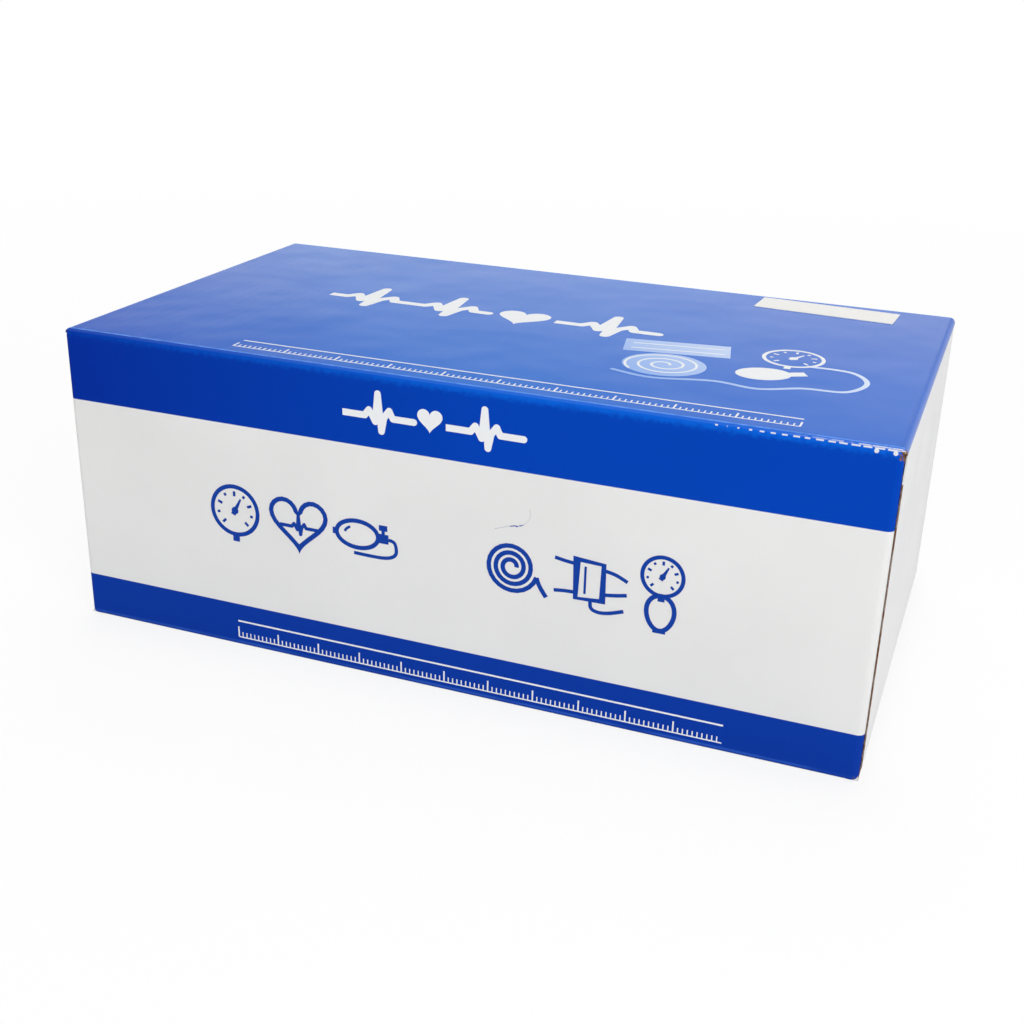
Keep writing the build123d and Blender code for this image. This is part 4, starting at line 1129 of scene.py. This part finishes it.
def pile_paint(name, dark, light, pitch, depth):
    """A hook or loop tape: tufts in rows on a woven ground."""
    paint = Paint(name, 0.2, {"Sheen Weight": 0.5, "Sheen Roughness": 0.6})
    tufts = paint.cells(1.0 / pitch, (1, 1, 0.2))
    fuzz = paint.noise(2.4, 4.0, roughness=0.7)
    paint.relief(paint.ramp(tufts, 0.0, 0.7, 1.0, 0.0), depth)
    paint.relief(fuzz, 0.2)
    colour = paint.mix(paint.ramp(tufts, 0.1, 0.6), light, dark)
    return paint.finish(paint.shade(colour, 0.2, fuzz), paint.ramp(fuzz, 0.2, 0.8, 0.75, 0.95))


cuff_cloth = cloth_paint("cuff_cloth", (28, 40, 78), (54, 70, 116), 0.55, 0.5)
bladder_rubber = rubber_paint("bladder_rubber", (40, 40, 42), (64, 64, 66), 0.5, 0.03)
black_rubber = rubber_paint("black_rubber", (30, 30, 32), (54, 54, 56), 0.42, 0.035)
hose_rubber = rubber_paint("hose_rubber", (32, 32, 34), (52, 52, 54), 0.38, 0.02)
loop_tape = pile_paint("loop_tape", (24, 34, 66), (58, 74, 120), 0.9, 0.3)
hook_tape = pile_paint("hook_tape", (30, 36, 50), (84, 92, 110), 1.2, 0.35)
thread = cloth_paint("thread", (92, 106, 142), (140, 152, 184), 0.3, 0.45)


def folded_line(first, last, start_cut=0.0, end_cut=0.0):
    """The folded cuff's middle line, as (y, z, normal y, normal z, distance along it)."""
    line = []
    radius = cuff_pitch / 2
    for layer in range(first, last + 1):
        odd = layer % 2 == 1
        z = cuff_bottom + cuff_thickness / 2 + (layer - 1) * cuff_pitch
        begin, end = (cuff_front_y, cuff_back_y) if odd else (cuff_back_y, cuff_front_y)
        way = 1 if odd else -1
        begin += way * start_cut if layer == first else 0
        end -= way * end_cut if layer == last else 0
        count = max(2, int(abs(end - begin) / 2.0))
        skip = 0 if layer == first else 1
        line += [(begin + (end - begin) * i / count, z, 0.0, float(way)) for i in range(skip, count + 1)]
        if layer < last:
            for i in range(1, 13):
                angle = math.radians(-90 + 15 * i) if odd else math.radians(270 - 15 * i)
                cosine, sine = math.cos(angle), math.sin(angle)
                line.append((end + radius * cosine, z + radius + radius * sine, -way * cosine, -way * sine))
    run, found = 0.0, []
    for i, (y, z, *normal) in enumerate(line):
        if i:
            run += math.hypot(y - line[i - 1][0], z - line[i - 1][1])
        found.append((y, z, *normal, run))
    return found


def woven(name, rings, material, flat):
    """A soft piece that keeps where each of its points lies on the flat cloth, for its weave."""
    piece = solid(name, sections(rings), material, "carton", 60)
    places = piece.data.attributes.new("cloth", "FLOAT_VECTOR", "POINT")
    places.data.foreach_set("vector", np.array(flat, np.float32).ravel())
    return piece


def swept_band(name, line, left, right, thick, material, hem, quilt):
    """A soft band along a folded line, with rounded edges, a thinner hem and small puckers."""
    across = stations(left, right, (0.0, 0.25, 0.7, 1.4, 2.6, 4.0, hem - 0.8, hem, hem + 0.8), hem + 4, 34)
    total = line[-1][4]

    def height_at(x, run):
        side, end = min(x - left, right - x), min(run, total - run)
        share = 1.0
        for gap in (side, end):
            if gap < soft_edge:
                share *= math.sqrt(max(0.04, 1 - (1 - gap / soft_edge) ** 2))
            share *= 1.0 if gap > hem else 0.8
            share *= 1 - 0.16 * math.exp(-((gap - hem) / 0.7) ** 2)
        pucker = math.sin(run * 0.9 + x * 0.05) * math.exp(-((side - hem - 2) / 4) ** 2)
        wave = math.sin(x * 0.11 + run * 0.031) * math.sin(run * 0.083 - x * 0.027)
        return thick / 2 * share * (1 + quilt * (0.35 * pucker + 0.65 * wave - 1))

    rings, flat = [], []
    for y, z, ny, nz, run in line:
        top = [(x, height_at(x, run)) for x in across]
        loop = top + [(x, -h) for x, h in reversed(top)]
        rings.append([(x, y + ny * h, z + nz * h) for x, h in loop])
        flat += [(x, run, 0.0) for x, _ in loop]
    return woven(name, rings, material, flat), total


def tape(name, length, low, high, material, bumps):
    """A strip of hook or loop tape on the cuff, with rounded selvedges and an uneven pile."""
    left, right = cuff_left + strip_edge, cuff_right - strip_edge
    front, back = cuff_front_y, cuff_front_y + length
    rim = (0, 0.3, 1.6)
    across, down = stations(left, right, rim, 3, 60), stations(front, back, rim, 3, 36)
    pattern = np.random.default_rng(7).random((len(down), len(across)))
    rings = []
    for j, y in enumerate(down):
        top = []
        for i, x in enumerate(across):
            gap = min(x - left, right - x, y - front, back - y)
            rounded = 0.45 if gap < 0.1 else 0.8 if gap < 0.4 else 0.9
            share = rounded if gap < 1.7 else 1 - bumps * pattern[j, i]
            top.append((x, y, low + (high - low) * share))
        rings.append(top + [(x, y, low) for x in reversed(across)])
    return woven(name, rings, material, [p for ring in rings for p in ring])


def stitches(name, lines, material):
    """Rows of sewn stitches along straight lines, each a short thread that dips at both ends."""
    # Along a stitch: share of its length, of its radius, and its drop
    sizes = ((-0.5, 0.35, -0.12), (-0.3, 0.9, 0.0), (0.0, 1.0, 0.05), (0.3, 0.9, 0.0), (0.5, 0.35, -0.12))
    parts = []
    for start, end in lines:
        start, end = Vector(start), Vector(end)
        along = (end - start).normalized()
        side = along.cross(Vector((0, 0, 1)))
        for i in range(int((end - start).length / stitch_pitch)):
            middle = start + along * stitch_pitch * (i + 0.5)
            rings = []
            for share, girth, drop in sizes:
                centre = middle + along * share * stitch_length + Vector((0, 0, drop))
                around = [polar(stitch_radius * girth, k * math.pi / 3) for k in range(6)]
                rings.append([tuple(centre + side * u + Vector((0, 0, v))) for u, v in around])
            parts.append(sections(rings))
    return solid(name, gathered(parts)[:2], material, "carton", 60)


def seam_rows():
    """The lines of stitches round the loop strip and along the cuff's hems."""
    left, right = cuff_left + strip_edge, cuff_right - strip_edge
    front, back = cuff_front_y, cuff_front_y + loop_length
    level = cuff_top + strip_thickness - 0.1
    hem = cuff_top - cuff_thickness * 0.1 - 0.12
    rows = [((x, front + 2, level), (x, back - 2, level)) for x in (left + 1.6, right - 1.6)]
    rows += [((left + 2, y, level), (right - 2, y, level)) for y in (front + 1.6, back - 1.6)]
    rows += [((x, front - 1, hem), (x, cuff_back_y - 2, hem)) for x in (cuff_left + 4.2, cuff_right - 4.2)]
    return rows + [((cuff_left + 6, cuff_back_y - 4.2, hem), (cuff_right - 6, cuff_back_y - 4.2, hem))]


def make_cuff():
    body, run = swept_band("cuff_body", folded_line(1, cuff_layers), cuff_left, cuff_right, cuff_thickness,
                           cuff_cloth, 6.0, 0.035)
    stand_in(body, "cuff")
    bag, bag_run = swept_band("bladder_bag", folded_line(3, cuff_layers, 42.4, 3.4), cuff_left + bladder_edge,
                              cuff_right - bladder_edge, bladder_thickness, bladder_rubber, 3.0, 0.03)
    stand_in(bag, "bladder")
    loop = tape("loop_pile_tape", loop_length, cuff_top - 0.25, cuff_top + strip_thickness, loop_tape, 0.22)
    stand_in(loop, "loop_strip")
    hook = tape("hook_tape_strip", hook_length, cuff_bottom - strip_thickness, cuff_bottom + 0.2,
                hook_tape, 0.05)
    stand_in(hook, "hook_strip")
    sewn = stitches("cuff_stitches", seam_rows(), thread)


# Hose and bulb

def make_hose():
    line = bpy.data.curves.new("hose_tube", "CURVE")
    line.dimensions = "3D"
    spline = line.splines.new("NURBS")
    spline.points.add(len(hose_places) - 1)
    for point, place in zip(spline.points, hose_places):
        point.co = (*[c * MM for c in place], 1.0)
    spline.order_u = 3
    spline.use_endpoint_u = True
    spline.resolution_u = 14
    line.bevel_depth = hose_diameter / 2 * MM
    line.bevel_resolution = 9
    line.use_fill_caps = True
    line.materials.append(hose_rubber)
    tube = add(bpy.data.objects.new("hose_tube", line))
    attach(tube, "carton")
    stand_in(tube, "hose")


def make_bulb():
    """The bulb's outside and inside as one turned skin, with beads at its necks and a raised mould seam."""
    def egg(x, half, radius, neck):
        share = 1 - ((x - bulb_middle_x) / half) ** 2
        body = radius * math.sqrt(share) if share > 0 else 0.0
        return (body ** 9 + neck ** 9) ** (1 / 9)

    outer, inner = [], []
    for x in stations(neck_left, neck_right, (0, 0.25, 0.8, 1.5, 2.2, 2.8, 3.4), 4.5, 78):
        end = min(x - neck_left, neck_right - x)
        bead = 0.35 * math.exp(-((end - 1.4) / 0.9) ** 2) - (0.3 if end < 0.1 else 0.0)
        outer.append((x, egg(x, bulb_half_length, bulb_radius - 0.1, neck_radius - 0.15) + bead))
        inner.append((x, egg(x, bulb_half_length - bulb_wall, bulb_radius - bulb_wall, neck_bore)))
    turns = set(range(0, 360, 4)) | {d + s for d in (0, 180, 360) for s in (-2.2, -1.3, -0.7, 0.7, 1.3, 2.2)}
    rings = []
    for turn in sorted(t for t in turns if 0 <= t < 360):
        away = min(abs(turn), abs(turn - 180), abs(turn - 360))
        seam = 0.14 if away < 0.8 else 0.06 if away < 1.5 else 0.0
        skin = [(x, r + seam) for x, r in outer] + inner[::-1]
        rings.append([(x, *polar(r, math.radians(turn), (pump_y, pump_z))) for x, r in skin])
    piece = solid("bulb_skin", sections(rings, closed=True), black_rubber, "carton", 70)
    stand_in(piece, "bulb")


make_cuff()
make_hose()
make_bulb()


# Valve, gauge and movement

def metal_paint(name, colour, rough, turned, stains):
    """Metal with fine lines, faint stains and soft wear. Turned parts have lines round their axis."""
    paint = Paint(name, sockets={"Metallic": 1.0})
    if turned:
        y, z = paint.calc("SUBTRACT", paint.y, pump_y), paint.calc("SUBTRACT", paint.z, pump_z)
        reach = paint.calc("SQRT", paint.calc("ADD", paint.times(y, y), paint.times(z, z)))
        lines = paint.node("CombineXYZ", {0: reach, 1: paint.x, 2: 0.0}).outputs[0]
        grain = paint.noise(6.0, 3.0, (1, 1, 1), 0.6, lines)
    else:
        grain = paint.noise(3.0, 4.0, (0.25, 3.0, 3.0), 0.6)
    paint.relief(grain, 0.006)
    tint = paint.shade(colour, stains, paint.noise(0.35, 4.0, roughness=0.6))
    return paint.finish(tint, paint.ramp(grain, 0.2, 0.8, max(0.04, rough - 0.07), rough + 0.07))


def moulded_paint(name, dark, light, rough, grain=0.02):
    paint = Paint(name)
    texture = paint.noise(3.5, 3.0, roughness=0.6)
    paint.relief(texture, grain)
    colour = paint.mix(paint.ramp(paint.noise(0.2, 3.0), 0.3, 0.7), dark, light)
    return paint.finish(colour, paint.ramp(texture, 0.3, 0.7, rough - 0.05, rough + 0.05))


def lens_paint():
    paint = Paint("lens_clear", 0.5, {"Transmission Weight": 1.0, "IOR": 1.49})
    paint.relief(paint.noise(0.15, 2.0), 0.01)
    return paint.finish(paint.mix(paint.noise(0.1, 2.0), (0.97, 0.985, 0.98, 1), (1, 1, 1, 1)),
                        paint.ramp(paint.noise(0.8, 4.0), 0.3, 0.8, 0.01, 0.05))


def mesh_paint():
    """A woven wire filter: crossing wires, with the holes between them painted dark as shade."""
    paint = Paint("filter_mesh", sockets={"Metallic": 0.8})
    hole = paint.times(paint.waves(paint.y, 0.5), paint.waves(paint.z, 0.5))
    paint.relief(hole, 0.15)
    # The holes are painted dark as shade; the wires are lighter.
    return paint.finish(paint.mix(paint.ramp(hole, 0.3, 0.6), (26, 26, 28), (172, 172, 170)),
                        paint.ramp(hole, 0, 1, 0.6, 0.35))


chrome = metal_paint("chrome", (178, 181, 188), 0.14, True, 0.04)
steel = metal_paint("steel", (160, 163, 168), 0.3, False, 0.06)
brass = metal_paint("brass", (206, 172, 98), 0.32, False, 0.1)
brass_plate = metal_paint("brass_plate", (212, 180, 106), 0.34, True, 0.08)
bronze = metal_paint("bronze", (186, 134, 84), 0.34, True, 0.12)
case_paint = moulded_paint("case_paint", (24, 25, 28), (34, 35, 38), 0.36, 0.03)
black_plastic = moulded_paint("black_plastic", (22, 22, 24), (32, 32, 34), 0.4)
pointer_black = moulded_paint("pointer_black", (18, 18, 20), (30, 30, 32), 0.45, 0.01)
dial_white = moulded_paint("dial_white", (248, 248, 245), (252, 252, 250), 0.5, 0.006)
dial_ink = moulded_paint("dial_ink", (24, 24, 26), (34, 34, 36), 0.55, 0.006)

for names, material in (
    (("tail_check_disc", "lens_gasket"), black_rubber),
    (("cuff_port",), black_plastic),
    (("valve_head", "valve_knob", "gauge_bezel", "tail_valve_body"), chrome),
    (("check_ball", "valve_needle", "dial_screws", "movement_screws", "rocker_shaft",
      "pointer_arbor"), steel),
    (("ball_seat", "tail_cage_ring", "stem_nut", "dial_posts", "capsule_seat", "lift_boss",
      "movement_pillars", "plate_spacers", "sector_gear", "spring_stud"), brass),
    (("back_plate", "front_plate"), brass_plate),
    (("capsule", "hairspring"), bronze),
    (("gauge_case",), case_paint),
    (("pointer",), pointer_black),
    (("gauge_dial",), dial_white),
    (("gauge_lens",), lens_paint()),
    (("intake_filter",), mesh_paint()),
):
    paint_nodes(names, material)


def on_dial(u, v, w):
    return (dial_top_x + w, pump_y + u, pump_z + v)


def on_scale(reach, value):
    """A point on the dial's scale, at a distance from its middle."""
    return polar(reach, math.radians(pointer_zero - pointer_sweep * value / full_scale))


def numeral(text, middle):
    """A number as a thin slab's points and faces, from the built-in typeface."""
    letters = bpy.data.curves.new("numeral", "FONT")
    letters.body = text
    letters.size = number_size
    letters.align_x = "CENTER"
    letters.align_y = "CENTER"
    letters.extrude = 0.02
    letters.resolution_u = 4
    holder = bpy.data.objects.new("numeral", letters)
    slab = bpy.data.meshes.new_from_object(holder)
    points = [on_dial(middle[0] + v.co.x, middle[1] + v.co.y, 0.012 + v.co.z) for v in slab.vertices]
    faces = [tuple(p.vertices) for p in slab.polygons]
    bpy.data.objects.remove(holder)
    bpy.data.meshes.remove(slab)
    return points, faces


def print_dial():
    ticks = [ring((0, 0), rim_reach, 0.16)]
    for value in range(0, full_scale + 1, 2):
        reach, width = (16.6, 0.34) if value % 20 == 0 else (17.3, 0.22) if value % 10 == 0 else (18.0, 0.13)
        ticks.append(bar(on_scale(reach, value), on_scale(rim_reach, value), width))
    marks = print_marks("dial_ticks", ticks, on_dial, dial_ink, -0.01, 0.015)
    parts = [numeral(str(value), on_scale(number_reach, value)) for value in range(0, full_scale + 1, 20)]
    numbers = solid("dial_numbers", gathered(parts)[:2], dial_ink, "carton")


print_dial()
